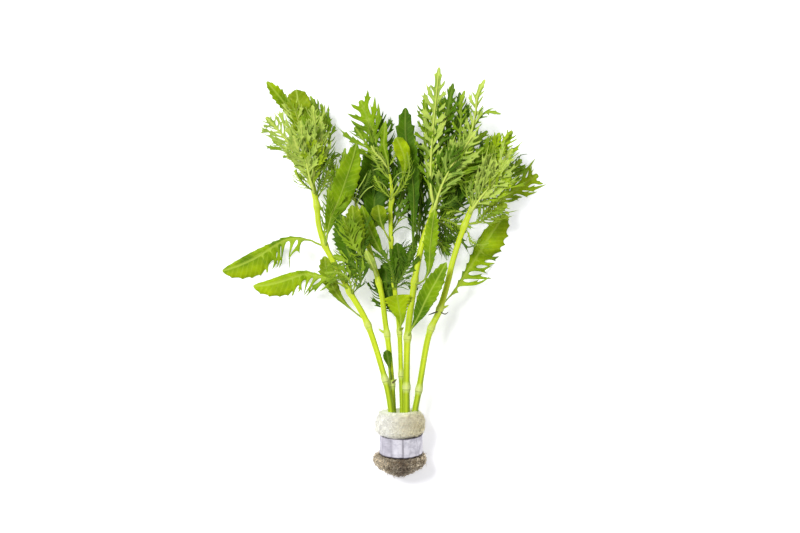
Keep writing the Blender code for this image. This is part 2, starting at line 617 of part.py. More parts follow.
def centre_on_floor(pieces):
    """Moves the whole plant so that the origin is under the middle of its box."""
    bpy.context.view_layer.update()
    corners = [v.co for piece in pieces for v in piece.data.vertices]
    low = [min(c[i] for c in corners) for i in range(3)]
    high = [max(c[i] for c in corners) for i in range(3)]
    shift = Vector((-(low[0] + high[0]) / 2, -(low[1] + high[1]) / 2, -low[2]))
    for piece in bpy.data.objects:
        if piece.type == "MESH":
            piece.data.transform(Matrix.Translation(shift))


def main():
    for old in list(bpy.data.objects):
        bpy.data.objects.remove(old)
    stem_finish = material("stem", (0.38, 0.55, 0.06), 0.45)
    finishes = {tone: material("leaf_" + tone, colour, 0.5) for tone, colour in TONES.items()}
    pieces = [make_wool(), make_strip()]
    stems, placed = {}, []
    for letter in STEMS:
        piece, stems[letter] = make_stem(letter, stem_finish)
        pieces.append(piece)
        placed.append(BVHTree.FromPolygons([v.co for v in piece.data.vertices],
                                           [p.vertices for p in piece.data.polygons]))
    for row in LEAVES:
        leaf = Leaf(row, stems)
        set_leaf(leaf, placed)
        piece, tree = make_leaf(leaf, finishes)
        pieces.append(piece)
        placed.append(tree)
    centre_on_floor(pieces)


main()
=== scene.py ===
"""Looks of a cut bunch of water wisteria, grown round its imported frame: leaves, stems, wool plug and strip.

Metres, +Z up. The plant is laid out in its own frame, with the origin under the plug's tip, and is then
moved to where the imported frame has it.
"""

import bisect
import json
import math
import random

import bmesh
import bpy
import numpy as np
from bpy.props import FloatProperty, FloatVectorProperty, IntProperty, PointerProperty
from mathutils import Matrix, Vector, noise
from mathutils.bvhtree import BVHTree

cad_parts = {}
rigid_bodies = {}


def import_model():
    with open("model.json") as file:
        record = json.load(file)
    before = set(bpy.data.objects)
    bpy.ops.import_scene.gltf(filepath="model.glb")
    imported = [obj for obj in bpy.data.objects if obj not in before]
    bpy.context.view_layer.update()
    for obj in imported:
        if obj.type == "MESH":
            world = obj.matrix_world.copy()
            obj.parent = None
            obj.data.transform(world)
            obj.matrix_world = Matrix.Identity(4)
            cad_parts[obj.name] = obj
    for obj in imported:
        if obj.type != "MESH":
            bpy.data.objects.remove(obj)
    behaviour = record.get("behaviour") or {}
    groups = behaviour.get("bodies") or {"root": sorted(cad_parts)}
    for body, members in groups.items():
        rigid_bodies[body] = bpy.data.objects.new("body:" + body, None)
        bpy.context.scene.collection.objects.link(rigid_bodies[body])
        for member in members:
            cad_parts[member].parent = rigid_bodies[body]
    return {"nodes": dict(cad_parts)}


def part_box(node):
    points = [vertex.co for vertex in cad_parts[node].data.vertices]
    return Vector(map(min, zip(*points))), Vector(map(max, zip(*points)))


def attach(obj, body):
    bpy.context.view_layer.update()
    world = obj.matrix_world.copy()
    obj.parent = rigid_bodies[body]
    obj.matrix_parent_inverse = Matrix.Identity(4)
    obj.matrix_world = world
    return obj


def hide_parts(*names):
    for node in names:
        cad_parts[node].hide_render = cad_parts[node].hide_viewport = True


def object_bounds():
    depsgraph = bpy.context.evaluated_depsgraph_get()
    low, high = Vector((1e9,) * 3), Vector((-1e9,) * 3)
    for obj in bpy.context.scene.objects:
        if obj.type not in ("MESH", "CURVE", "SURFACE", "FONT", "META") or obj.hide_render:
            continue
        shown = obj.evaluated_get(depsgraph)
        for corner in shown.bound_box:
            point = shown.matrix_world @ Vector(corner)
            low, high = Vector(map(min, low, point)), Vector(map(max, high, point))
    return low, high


for old in list(bpy.data.objects):
    bpy.data.objects.remove(old)

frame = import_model()
FRAME_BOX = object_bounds()

bl_info = {
    "name": "Water Wisteria Bunch",
    "version": (1, 0, 0),
    "blender": (4, 5, 0),
    "location": "View3D > Sidebar > Wisteria",
    "description": "Grows the leaves, stems, wool plug and strip of a cut bunch of water wisteria",
    "category": "Add Mesh",
}

MM = 0.001

# One pixel of the photograph is half a millimetre of the plant. Then the plug's tip in it, and the gap that
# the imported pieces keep.
PIXEL = 0.5 * MM
TIP_PIXEL = (400.0, 475.0)
GAP = 0.3 * MM

# Wool plug: its tilt with the stems' end up, the height of its axis at its widest place, and its profile as
# distance from the tip and radius in mm. What would lie below the surface is pressed flat.
PLUG_TILT = math.radians(8.0)
PLUG_AXIS_HEIGHT = 11.2 * MM
PLUG_WIDEST_AT = 8.5 * MM
PLUG_SIDES = 18
WAIST_RADIUS = 9.0
PLUG_PROFILE = (
    (0.0, 0.9),
    (0.9, 3.2),
    (2.8, 7.0),
    (5.2, 10.6),
    (7.6, 12.3),
    (9.1, 12.2),
    (10.1, 10.8),
    (10.7, WAIST_RADIUS),
    (21.7, WAIST_RADIUS),
    (22.5, 11.3),
    (24.0, 12.2),
    (28.0, 12.0),
    (31.0, 10.4),
    (32.3, 8.4),
)
# The plug is not quite round: waves round it, each as count, height and turn.
PLUG_WAVES = ((2, 0.018, 0.6), (3, 0.012, -1.0))

# Metal strip, wrapped a little more than once round the plug's waist: its thickness, width and middle from
# the plug's tip, how far askew it sits and where that fades out, its lap, and the angle of its outer end.
STRIP_THICKNESS = 0.7 * MM
STRIP_WIDTH = 10.1 * MM
STRIP_MIDDLE = 16.2 * MM
STRIP_SLANT = 1.6 * MM
SLANT_REACH = 11.0 * MM
SLANT_FADE = 5.0 * MM
STRIP_LAP = math.radians(38.0)
STRIP_END_ANGLE = math.radians(82.0)

# Stems: how much they swell at a node and half the length of that, the steps and sides of their tubes, how
# much they taper and over which last share of their length, and their ridges: how many, how high, and how
# far each turns in a step.
NODE_SWELL = 1.32
NODE_HALF_LENGTH = 1.7 * MM
STEM_STEP = 0.9 * MM
STEM_SIDES = 16
STEM_TAPER = 0.62
TAPER_FROM = 0.86
TAPER_OVER = 0.14
STEM_RIDGES = ((4, 0.035, 0.02), (2, 0.02, 0.09))
# Collars of the nodes: no nearer to the lower end and no further up than this, how far past the node, their
# steps along the stem and how wide each ring is as a share of the swollen stem.
COLLAR_FROM = 2 * MM
COLLAR_UP_TO = 0.75
COLLAR_AHEAD = 0.35 * MM
COLLAR_STEP = 0.4 * MM
COLLAR_RINGS = ((-2, 0.88), (-1, 0.96), (0, 1.0), (1, 0.96), (2, 0.88))
# Spurs and buds: how far past the node, how far they reach out and on, their rings as share of the length
# and radius, and their sides.
BUD_AHEAD = 0.8 * MM
BUD_OUT = 1.1
BUD_ON = 0.75
BUD_RINGS = ((0.1, 1.0 * MM), (0.35, 0.75 * MM), (0.6, 0.6 * MM), (0.85, 0.42 * MM), (1.0, 0.15 * MM))
BUD_SIDES = 8
# Distances from a node that are written to a collar and to a spur.
COLLAR_NODE = 0.3 * MM
BUD_NODE = 2.6 * MM
# Each stem: radius in mm, route as pixel x, pixel y and height in mm, and the pixel rows of its nodes.
STEMS = {
    "A": (
        1.45,
        ((392, 437, 15.6), (391, 411, 17.3), (385, 379, 18.6), (368, 325, 19.4), (350, 292, 19),
         (336, 266, 18), (325, 245, 17), (319, 225, 16), (317, 206, 15), (313, 186, 14),
         (310, 168, 13), (308, 150, 12)),
        (379, 325, 291, 245, 206, 176),
    ),
    "B": (
        1.35,
        ((394.6, 437, 11.6), (393.5, 411, 13.2), (392, 384, 14.4), (388.5, 345, 15.5), (385, 320, 15.5),
         (381.6, 294, 15), (374, 265, 14.5), (367, 240, 14), (360, 216, 13.5), (354, 198, 13)),
        (384, 333, 282, 240),
    ),
    "C": (
        1.15,
        ((401.6, 437, 11.4), (402, 411, 13), (401, 374, 14.2), (399.5, 332, 15.2), (396, 300, 15.8),
         (392, 260, 16), (391, 238, 15.8), (390.5, 210, 15.4), (392, 198, 15.2), (391, 182, 14.8),
         (388, 166, 14.2)),
        (374, 332, 285, 241, 199),
    ),
    "D": (
        1.6,
        ((405.2, 437, 15.4), (406.5, 411, 17), (406.5, 387, 18), (407.5, 337, 19.5), (412.5, 296, 19),
         (418, 262, 18.2), (424, 238, 17.4), (433, 213, 16.4), (436, 194, 15.6), (438, 176, 14.6)),
        (387, 337, 280, 213, 194),
    ),
    "E": (
        1.5,
        ((412.5, 437, 13.4), (415, 411, 15), (419, 389, 16), (426, 347, 17.3), (431, 328, 17.8),
         (439, 311, 17.6), (447, 285, 17.2), (453, 260, 16.6), (462, 232, 15.6), (470, 212, 14.8),
         (476, 198, 14), (482, 184, 13)),
        (389, 328, 309, 225, 204),
    ),
}
# Short dead spurs on the nodes: pixel row, direction across the stem (-1 left) and length in mm.
SPURS = {"B": ((333, -1, 3.4), (384, 1, 2.2)), "E": ((309, 1, 3.2),), "C": ((332, 1, 2.0),)}

# Leaf forms: how much of the length is stalk, where the blade is widest, how round it is and how much
# of it is a plain cone, then how deep the cuts go on the left and the right and what is left of that at
# the tip, the left side's share of the width, and how much of the margin a lobe fills.
EVEN = dict(even=1.0, share=0.5, fill=0.9)
FORMS = {
    "broad": dict(EVEN, stalk=0.16, widest=0.58, full=0.7, cone=0.0, left=0.16, right=0.16),
    "spoon": dict(EVEN, stalk=0.14, widest=0.72, full=0.75, cone=0.7, left=0.2, right=0.2),
    "strap": dict(EVEN, stalk=0.14, widest=0.52, full=0.7, cone=0.0, left=0.08, right=0.08),
    "round": dict(EVEN, stalk=0.26, widest=0.74, full=0.6, cone=0.4, left=0.05, right=0.05),
    "fan": dict(EVEN, stalk=0.1, widest=0.95, full=0.5, cone=0.95, left=0.08, right=0.08),
    "fork": dict(stalk=0.1, widest=0.66, full=0.75, cone=0.0, left=0.66, right=0.66,
                 even=0.8, share=0.5, fill=0.6),
    "cut": dict(stalk=0.14, widest=0.5, full=0.7, cone=0.0, left=0.6, right=0.6,
                even=0.8, share=0.5, fill=0.66),
    "comb": dict(stalk=0.12, widest=0.5, full=0.7, cone=0.0, left=0.76, right=0.76,
                 even=1.0, share=0.5, fill=0.55),
    "tooth_right": dict(stalk=0.08, widest=0.64, full=0.6, cone=0.7, left=0.5, right=0.86,
                        even=0.2, share=0.26, fill=0.62),
    "comb_left": dict(stalk=0.1, widest=0.56, full=0.6, cone=0.6, left=0.84, right=0.3,
                      even=0.1, share=0.8, fill=0.62),
}
# Thickness of a packed leaf, and how far it stays off a stem.
LEAF_THICKNESS = 0.55 * MM
LEAF_CLEARANCE = 0.35 * MM
# A leaf starts this far from the stem's skin, in front of it or behind it, or beside it where the leaf
# leaves the stem at a wide angle.
LEAF_SEAT = LEAF_CLEARANCE + 0.6 * LEAF_THICKNESS
SIDE_SEAT = 2 * GAP
WIDE_ANGLE_SHARE = 0.75
# Shares of a blade: its start before the first lobe, what the lobes take up, and where the cuts of its two
# sides start to change towards the tip and over how much.
FIRST_LOBE = 0.06
LOBED_SHARE = 0.9
EVEN_FROM = 0.25
EVEN_OVER = 0.45
# A leaf reaches its height within the ramp, its halves rise from the midrib, and a laid leaf starts to
# go down after this share of its free length.
RAMP_LENGTH = 9.0 * MM
KEEL = 0.12
LAY_START = 0.35
LAID_HEIGHT = LEAF_THICKNESS / 2 + 0.02 * MM

# Tones of the leaves, and the two sides of the stems that a leaf may lie on.
# The deep tone goes to leaves inside the bunch: partly their own darker green, partly painted shade of the
# bunch.
TONES = ("bright", "green", "deep", "olive", "pale")
UNDER, OVER = -1.0, 1.0
# Leaves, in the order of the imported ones: name, side of the stems, route in pixels from the stem, full
# width in pixels, form, tone, roll in degrees, how far the tip rises in mm, and how much of the length
# lies down on the surface at the tip.
LEAVES = (
    ("leaf_A1", UNDER, ((366, 322), (350, 308), (338, 295), (330, 280), (326, 266), (324, 255)),
     19, "spoon", "olive", 4, -6, 0),
    ("leaf_C3", UNDER, ((390, 180), (384, 170), (379, 158), (375, 143), (369, 123), (360, 99.5)),
     34, "fork", "green", 6, -2, 0),
    ("leaf_C4", UNDER, ((391, 232), (399, 212), (403, 186), (399, 150)), 28, "cut", "deep", 12, -6, 0),
    ("leaf_C2", UNDER, ((395, 290), (399, 279), (405, 266), (412, 251), (418, 232)),
     9, "strap", "deep", -14, -2, 0),
    ("leaf_C1", UNDER, ((398, 318), (391, 302), (387, 286), (385, 262)), 24, "broad", "deep", 6, -4, 0),
    ("leaf_A6", UNDER, ((309, 157), (313, 146), (317, 135), (315, 115)), 20, "cut", "deep", -10, -4, 0),
    ("leaf_A9", UNDER, ((311, 167), (303, 160), (293, 148), (280, 132), (265, 116)),
     25, "comb", "pale", 0, 0, 0.5),
    ("leaf_A7", UNDER, ((313, 182), (321, 168), (325, 148), (323, 124), (310, 95)),
     18, "cut", "green", -16, -5, 0),
    ("leaf_A8", UNDER, ((316, 200), (323, 188), (329, 170), (333, 158), (341, 154)),
     11, "comb", "green", 0, -6, 0),
    ("leaf_B2", UNDER, ((354, 198), (344, 198), (336, 184), (331, 160)), 18, "cut", "pale", 10, -4, 0),
    ("leaf_B1", UNDER, ((367, 240), (373, 218), (374, 190), (371, 150)), 38, "broad", "deep", -8, -6, 0),
    ("leaf_D2", UNDER, ((438, 179), (446, 163), (453, 145), (459, 120), (459, 91)),
     22, "cut", "deep", 14, -4, 0),
    ("leaf_D3", UNDER, ((437, 187), (441, 165), (446, 140), (450, 110), (451, 85)),
     22, "cut", "green", -10, -2, 0),
    ("leaf_D4", UNDER, ((436, 196), (452, 180), (465, 157), (475, 142), (488, 130)),
     24, "cut", "green", 16, -6, 0),
    ("leaf_D5", UNDER, ((430, 221), (438, 222), (446, 231), (451, 244)), 25, "comb", "deep", 0, -5, 0),
    ("leaf_D6", UNDER, ((427, 230), (440, 222), (449, 208), (456, 190), (462, 162)),
     26, "broad", "deep", 12, -5, 0),
    ("leaf_D7", UNDER, ((421, 250), (419, 225), (421, 190), (421, 142)), 27, "cut", "deep", -6, -1, 0),
    ("leaf_D1", UNDER, ((416, 280), (413, 258), (413, 235), (414, 210), (413, 185), (409, 160),
                        (405, 135), (404.5, 107.5)), 24, "spoon", "deep", 8, 2, 0),
    ("leaf_E2", UNDER, ((480, 189), (490, 188), (505, 178), (522, 159)), 21, "cut", "green", -14, -5, 0),
    ("leaf_E3", UNDER, ((477, 196), (479, 180), (485, 160), (497, 136)), 22, "cut", "deep", 12, -2, 0),
    ("leaf_E4", UNDER, ((472, 208), (487, 206), (503, 199), (520, 187), (539, 174)),
     30, "fork", "bright", 0, 0, 0.45),
    ("leaf_E1", UNDER, ((441, 306), (455, 290), (467, 272), (479, 252), (489, 235), (506, 213)),
     28, "tooth_right", "bright", 0, 0, 0.4),
    ("leaf_A2", OVER, ((349, 290), (335, 281), (325, 278), (305, 274), (290, 277), (270, 283), (252, 286)),
     23, "comb_left", "bright", 0, 0, 0.45),
    ("leaf_A4", OVER, ((325, 245), (310, 240), (291, 239), (279, 243), (264, 251), (240, 263), (221, 271)),
     27, "comb_left", "bright", 0, 0, 0.4),
    ("leaf_A5", OVER, ((326, 246), (328, 232), (332, 215), (340, 198), (347, 178), (353, 160), (357, 144)),
     27, "strap", "green", -10, 5, 0),
    ("leaf_A3", OVER, ((346, 284), (350, 271), (349, 255), (345, 238), (340, 214)),
     26, "broad", "deep", 8, 0, 0),
    ("leaf_A10", OVER, ((353, 296), (357, 278), (351, 264), (342, 259), (333, 256)),
     27, "comb", "green", 0, 0, 0),
    ("leaf_B3", OVER, ((374, 266), (366, 256), (357, 240), (352, 205)), 24, "broad", "olive", -10, 4, 0),
    ("leaf_B4", OVER, ((378, 277), (372, 264), (366, 250)), 10, "strap", "pale", 15, 2, 0),
    ("leaf_C10", OVER, ((390, 174), (387, 158), (384, 145), (385.5, 121)), 8, "strap", "green", 10, 4, 0),
    ("leaf_C9", OVER, ((392, 198), (399, 188), (404, 172), (404, 157), (396, 138)),
     16, "round", "bright", -8, 8, 0),
    ("leaf_C5", OVER, ((391, 243), (386, 234), (381, 222), (378, 205)), 16, "round", "olive", 8, 5, 0),
    ("leaf_C6", OVER, ((392, 262), (386, 259), (378, 246), (369, 226), (362, 205)),
     15, "strap", "green", 16, 4, 0),
    ("leaf_C7", OVER, ((395, 289), (398, 272), (399, 258), (397, 243)), 22, "broad", "deep", -8, 3, 0),
    ("leaf_C8", OVER, ((399.5, 332), (401, 320), (399, 308), (397, 295)), 33, "fan", "bright", 0, 4, 0),
    ("leaf_B5", OVER, ((391.5, 380), (389, 364), (386.5, 350)), 9, "round", "deep", 0, 2, 0),
    ("leaf_D9", OVER, ((415, 286), (424, 280), (429, 268), (430, 248), (434, 210)),
     17, "broad", "green", 10, 4, 0),
    ("leaf_D8", OVER, ((408, 337), (413, 326), (419, 315), (427, 298), (437, 280), (447, 262)),
     21, "strap", "green", 14, 5, 0),
    ("leaf_D13", OVER, ((438, 178), (450, 165), (463, 149), (475, 125), (485, 113), (501, 115)),
     12, "comb", "green", 0, 8, 0),
    ("leaf_D12", OVER, ((437, 186), (450, 175), (460, 160), (469, 140), (475, 115), (477, 96), (484, 80)),
     20, "comb", "pale", 10, 5, 0),
    ("leaf_D11", OVER, ((436, 195), (430, 175), (429, 148), (427, 120), (423.5, 95)),
     18, "cut", "green", -14, 3, 0),
    ("leaf_D10", OVER, ((434, 206), (431, 190), (431, 160), (433, 130), (436, 100), (438.7, 68)),
     25, "cut", "pale", 8, 6, 0),
    ("leaf_D14", OVER, ((432, 216), (440, 190), (451, 167), (463, 150), (475, 132)),
     30, "cut", "pale", -6, 8, 0),
    ("leaf_E7", OVER, ((477, 196), (487, 178), (499, 155), (512, 131)), 28, "cut", "bright", 8, 5, 0),
    ("leaf_E6", OVER, ((472, 207), (470, 192), (475, 172), (486, 148)), 24, "broad", "green", -12, 4, 0),
    ("leaf_E8", OVER, ((469, 214), (481, 197), (495, 180), (508, 161)), 32, "comb", "pale", 0, 8, 0),
    ("leaf_E5", OVER, ((465, 223), (478, 223), (492, 214), (507, 204)), 27, "cut", "olive", -8, 1, 0),
    ("leaf_A12", OVER, ((308, 152), (301, 128), (292, 98)), 15, "broad", "bright", 8, 3, 0),
    ("leaf_A11", OVER, ((309, 161), (299, 135), (289, 110), (267, 82)), 15, "spoon", "bright", -8, 6, 0),
    ("leaf_A13", OVER, ((310, 170), (306, 140), (301, 112), (296, 90)), 24, "round", "olive", 0, 3, 0),
    ("leaf_A14", OVER, ((312, 181), (316, 165), (317, 140), (313, 106)), 24, "comb", "pale", -10, 6, 0),
    ("leaf_A15", OVER, ((315, 194), (309, 174), (305, 150), (301, 122)), 33, "cut", "pale", 6, 9, 0),
)

# How each form is cut in full: lobes a side, how deep, how much shallower at the tip, small teeth on a
# lobe, how slim a lobe is at its middle, how far it leans on to the tip, how uneven the lobes are, how much
# longer they are near the stalk, how far they lift out of the blade, and how the halves fold up.
WHOLE = dict(lance=0, teeth=0, slim=1, lean=0, hang=0, lift=0)
CUTS = {
    "broad": dict(WHOLE, lobes=11, depth=1.7, uneven=0.5, fold=0.25),
    "spoon": dict(WHOLE, lobes=12, depth=1.25, uneven=0.5, fold=0.2),
    "strap": dict(WHOLE, lobes=10, depth=1.8, uneven=0.6, fold=0.3),
    "round": dict(WHOLE, lobes=8, depth=1.0, uneven=0.4, fold=0.2),
    "fan": dict(WHOLE, lobes=9, depth=2.6, uneven=0.5, fold=0.1),
    "fork": dict(lobes=6, depth=1.35, lance=0.1, teeth=1, slim=0.5, lean=1.6, uneven=0.4,
                 hang=0.3, lift=0.3, fold=0.25),
    "cut": dict(lobes=10, depth=1.65, lance=0.35, teeth=2, slim=0.35, lean=1.6, uneven=0.65,
                hang=0.5, lift=0.5, fold=0.35),
    "comb": dict(lobes=10, depth=1.25, lance=0.5, teeth=2, slim=0.3, lean=1.7, uneven=0.65,
                 hang=0.5, lift=0.6, fold=0.4),
    "tooth_right": dict(lobes=10, depth=1.08, lance=0, teeth=1, slim=0.42, lean=0.7, uneven=0.3,
                        hang=2.6, lift=0.25, fold=0.2),
    "comb_left": dict(lobes=10, depth=1.1, lance=0, teeth=1, slim=0.36, lean=0.55, uneven=0.35,
                      hang=1.7, lift=0.2, fold=0.15),
}

# Blades: least half width, that at the tip as a share of it, how far along the stalk they start, where the
# cuts get shallower and over how much of the blade, how deep one may go, and where the rows past the last
# lobe lie.
THIN_BLADE = 0.3 * MM
THIN_AT_TIP = 0.8
BLADE_START = 0.8
SHALLOW_FROM = 0.68
SHALLOW_OVER = 0.27
DEEPEST_CUT = 0.93
TIP_ROWS = (0.4, 0.75)
# A margin that is cut less deeply than this, or whose lobes would be shorter than so many steps along it,
# has teeth: on a leaf with two different sides, and on the others. Then how far a tooth points on.
LOBED_FROM = 0.35
SHORT_ON_UNEVEN = 0.9
SHORT_ON_EVEN = 0.4
TOOTH_ON = (0.25, 0.42)
# Lobes: how far from the stalk they hang longer, the longest one, how far they slip along the margin, how
# their lean varies, and where each bends, as shares of its length and lean.
HANG_REACH = 0.55
LONGEST_LOBE = 1.2
LOBE_SLIP = 0.33
LEAN_RANGE = (0.5, 1.5)
BEND_OUT = (0.45, 0.8)
BEND_ON = (0.05, 0.5)
# Rows along a lobe, how it tapers, its fuller second row, its greatest half width as a share of its
# length, and how its sides rise from its middle.
LOBE_ROWS = 4
LOBE_TAPER = 0.35
LOBE_FULLER = 1.15
LOBE_WIDEST = 0.3
LOBE_TROUGH = 0.12
# Side teeth: the least lobe that has them, how often, how far out against on, and their length as a share
# of the lobe and at most.
TOOTHED_FROM = 3.2 * MM
TOOTH_CHANCE = 0.7
TOOTH_OUT = 0.5
TOOTH_SHARE = (0.2, 0.6)
TOOTH_MOST = 3.2 * MM
# Distances from a vein that are written to the middle of a lobe, to its root, to its tip and to a tooth.
LOBE_VEIN = 0.4 * MM
ROOT_VEIN = 0.45 * MM
TIP_VEIN = 0.3 * MM
TOOTH_VEIN = 0.4 * MM
# Waves of a margin: length in mm, start, and how far the right side runs ahead of the left. Then the
# range of the fold, the bow of a leaf as a share of its length, and how much of both goes where it lies.
WAVE_LENGTH = (7.0, 11.0)
WAVE_START = (0.0, 6.0)
WAVE_AHEAD = 1.7
FOLD_RANGE = (0.2, 1.0)
BOW_RANGE = (-0.04, 0.03)
LAID_FLAT = 0.85

# Midribs: radius on a leaf, on a young one, on one beside another, and on one that shows its pale
# underside, and how far that last one stands out of the blade as a share of its radius.
RIB = 0.5 * MM
YOUNG_RIB = 0.34 * MM
BESIDE_RIB = 0.38 * MM
PALE_RIB = 0.8 * MM
RIB_RAISED = 0.6
# How far a midrib runs, its steps, sides, and the length in which it leaves the stem, then how much thicker
# it starts on the stalk, and its share at the tip and what it loses along the blade.
RIB_REACH = 0.94
RIB_STEP = 1.6 * MM
RIB_STEPS_LEAST = 8
THIN_SIDES = 6
RIB_JOIN = 3.0 * MM
STALK_SWELL = 0.25
RIB_AT_TIP = 0.2
RIB_TAPER = 0.62
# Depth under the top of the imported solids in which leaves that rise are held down.
TOP_ROOM = 3.0 * MM
# Where the height of a packed leaf is read: count, first and step as shares of its length, the least
# rise that a reading counts at, and the height from which it is looked for.
LIFT_READINGS = 12
LIFT_FIRST = 0.2
LIFT_STEP = 0.05
LIFT_RISE_LEAST = 0.25
LOOK_FROM = 0.1

# Young leaves, all combs: name, side of the stem, route and full width in pixels, tone, roll in degrees, how
# far the tip rises and how far each stands off its stem in mm.
SHOOTS = (
    ("tuft_A1", OVER, ((309, 155), (306, 145), (302, 136), (297, 130)), 9, "green", 20, 2, 1),
    ("tuft_A2", OVER, ((309, 156), (311, 144), (314, 134), (319, 126)), 9, "pale", -20, 3, 2),
    ("tuft_A3", OVER, ((310, 165), (302, 158), (296, 150), (288, 146)), 9, "green", 10, 1, 0),
    ("tuft_A4", OVER, ((313, 180), (318, 172), (326, 166), (331, 158)), 9, "green", -10, 1, 0),
    ("tuft_B1", OVER, ((355, 200), (352, 190), (351, 178), (349, 166)), 11, "green", 14, 2, 1),
    ("tuft_B2", OVER, ((356, 203), (361, 192), (367, 182), (371, 170)), 11, "deep", -14, 2, 1),
    ("tuft_B3", OVER, ((367, 240), (360, 232), (352, 228), (344, 226)), 10, "green", 10, 1, 2),
    ("tuft_C1", OVER, ((389, 168), (394, 158), (398, 148), (404, 140)), 11, "green", -12, 2, 1),
    ("tuft_C2", OVER, ((389, 170), (382, 160), (376, 154), (371, 146)), 11, "pale", 12, 2, 1),
    ("tuft_C3", OVER, ((391, 199), (384, 192), (378, 184), (374, 176)), 10, "green", 12, 2, 1),
    ("tuft_D1", OVER, ((438, 178), (444, 166), (447, 152), (452, 140)), 12, "green", -12, 3, 1),
    ("tuft_D2", OVER, ((438, 180), (434, 168), (430, 158), (424, 150)), 11, "green", 12, 3, 1),
    ("tuft_D3", OVER, ((433, 213), (442, 206), (450, 202), (457, 196)), 11, "deep", -10, 2, 0),
    ("tuft_E1", OVER, ((481, 186), (486, 176), (489, 166), (494, 158)), 12, "green", 12, 3, 1),
    ("tuft_E2", OVER, ((480, 188), (476, 178), (474, 168), (470, 160)), 11, "pale", -12, 3, 1),
    ("tuft_E3", OVER, ((470, 212), (462, 206), (456, 200), (451, 192)), 11, "deep", -10, 1, 0),
    ("tuft_A5", OVER, ((327, 243), (338, 200), (341, 172), (345, 148)), 16, "green", 10, 2, 0),
    ("tuft_A6", OVER, ((313, 192), (306, 186), (300, 180), (295, 170)), 12, "bright", 12, 2, 0),
    ("tuft_A7", OVER, ((315, 197), (320, 188), (325, 180), (329, 170)), 11, "green", -12, 2, 0),
    ("tuft_D4", UNDER, ((430, 221), (442, 219), (455, 224), (466, 233)), 17, "green", 10, -1, -1),
    ("tuft_D5", UNDER, ((428, 227), (434, 236), (441, 246), (449, 256)), 14, "deep", 10, -1, -1),
    ("tuft_D6", UNDER, ((424, 240), (432, 240), (440, 243), (446, 251)), 12, "green", 10, -1, -1),
    ("tuft_E4", OVER, ((468, 216), (461, 212), (453, 211), (446, 214)), 13, "green", -10, 1, 0),
    ("tuft_E5", UNDER, ((463, 228), (470, 240), (479, 245), (489, 243)), 12, "green", -10, 0, -1),
    ("tuft_C4", UNDER, ((392, 258), (402, 250), (410, 246), (418, 247)), 14, "deep", 10, 0, -1),
    ("tuft_C5", UNDER, ((395, 288), (404, 283), (411, 284), (418, 290)), 13, "deep", 10, 0, -1),
)

# Leaves that grow beside another of the same stem: that leaf, form, tone, turn from it in degrees, size as
# a share of it, and how far it stands off it in mm.
COMPANIONS = (
    ("leaf_A15", "comb", "pale", 9, 0.85, -1.5), ("leaf_A15", "comb", "bright", -12, 0.75, -2),
    ("leaf_A14", "comb", "bright", 14, 0.8, -1.5), ("leaf_A14", "cut", "pale", -9, 0.8, -2),
    ("leaf_A13", "comb", "pale", 5, 0.97, 0.8), ("leaf_A11", "comb", "green", -9, 0.75, 0.5),
    ("leaf_A12", "cut", "bright", 8, 0.85, 0.4), ("leaf_A7", "comb", "green", -7, 0.9, 0.5),
    ("leaf_A6", "comb", "deep", 12, 1, 0.5), ("leaf_A9", "comb", "green", 12, 0.7, 0),
    ("leaf_A8", "comb", "green", 18, 1, 0.5), ("leaf_A10", "comb", "green", 25, 0.8, 1),
    ("leaf_A10", "cut", "deep", -20, 0.8, 0.5), ("leaf_A5", "cut", "green", 14, 0.55, -1),
    ("leaf_A3", "comb", "deep", -18, 1, 1), ("leaf_B1", "cut", "deep", 14, 0.95, 1),
    ("leaf_B1", "cut", "green", -12, 0.85, 1.5), ("leaf_B2", "comb", "green", -22, 0.9, 1),
    ("leaf_B2", "comb", "pale", 16, 0.8, 1), ("leaf_B3", "comb", "green", 12, 0.9, 1),
    ("leaf_C3", "comb", "green", 13, 0.75, 0.5), ("leaf_C3", "cut", "deep", -10, 0.8, 0.5),
    ("leaf_C4", "comb", "deep", 13, 1, 1), ("leaf_C4", "comb", "green", -12, 0.85, 1.5),
    ("leaf_C7", "comb", "deep", 22, 0.9, 1), ("leaf_C7", "cut", "deep", -20, 0.9, 0.5),
    ("leaf_C1", "cut", "deep", 18, 0.8, 0.5), ("leaf_C9", "comb", "green", -14, 0.8, 0.5),
    ("leaf_D7", "comb", "deep", 8, 0.9, 1), ("leaf_D7", "comb", "green", -9, 0.75, 1.5),
    ("leaf_D3", "comb", "deep", 6, 0.9, 0.5), ("leaf_D2", "comb", "green", -8, 0.9, 0.5),
    ("leaf_D4", "comb", "green", 10, 0.9, 0.5), ("leaf_D4", "cut", "deep", -12, 0.85, 0.5),
    ("leaf_D5", "comb", "deep", -28, 0.9, 0.5), ("leaf_D5", "comb", "green", 24, 0.8, 0.5),
    ("leaf_D6", "comb", "green", 12, 0.9, 1), ("leaf_D6", "comb", "deep", -14, 1, 1),
    ("leaf_D10", "comb", "deep", -7, 0.9, -1.5), ("leaf_D10", "comb", "green", 7, 0.8, -2),
    ("leaf_D11", "comb", "green", -10, 0.8, 0.5), ("leaf_D12", "comb", "green", 8, 0.85, 0.5),
    ("leaf_D14", "comb", "deep", 10, 0.8, -1.5), ("leaf_D14", "comb", "green", -10, 0.9, -2),
    ("leaf_E7", "comb", "bright", 9, 0.9, 0.5), ("leaf_E7", "comb", "pale", -9, 0.8, 1),
    ("leaf_E8", "comb", "pale", 10, 0.9, -1.5), ("leaf_E8", "comb", "bright", -12, 0.85, -2),
    ("leaf_E5", "comb", "green", 14, 0.9, 0.5), ("leaf_E6", "comb", "green", 16, 0.9, 0.8),
    ("leaf_E6", "comb", "pale", -12, 0.9, 0.8), ("leaf_E2", "comb", "green", -8, 0.95, 0.3),
    ("leaf_E3", "comb", "deep", -10, 1, 0.5), ("leaf_A13", "cut", "green", -10, 0.85, 1.4),
)

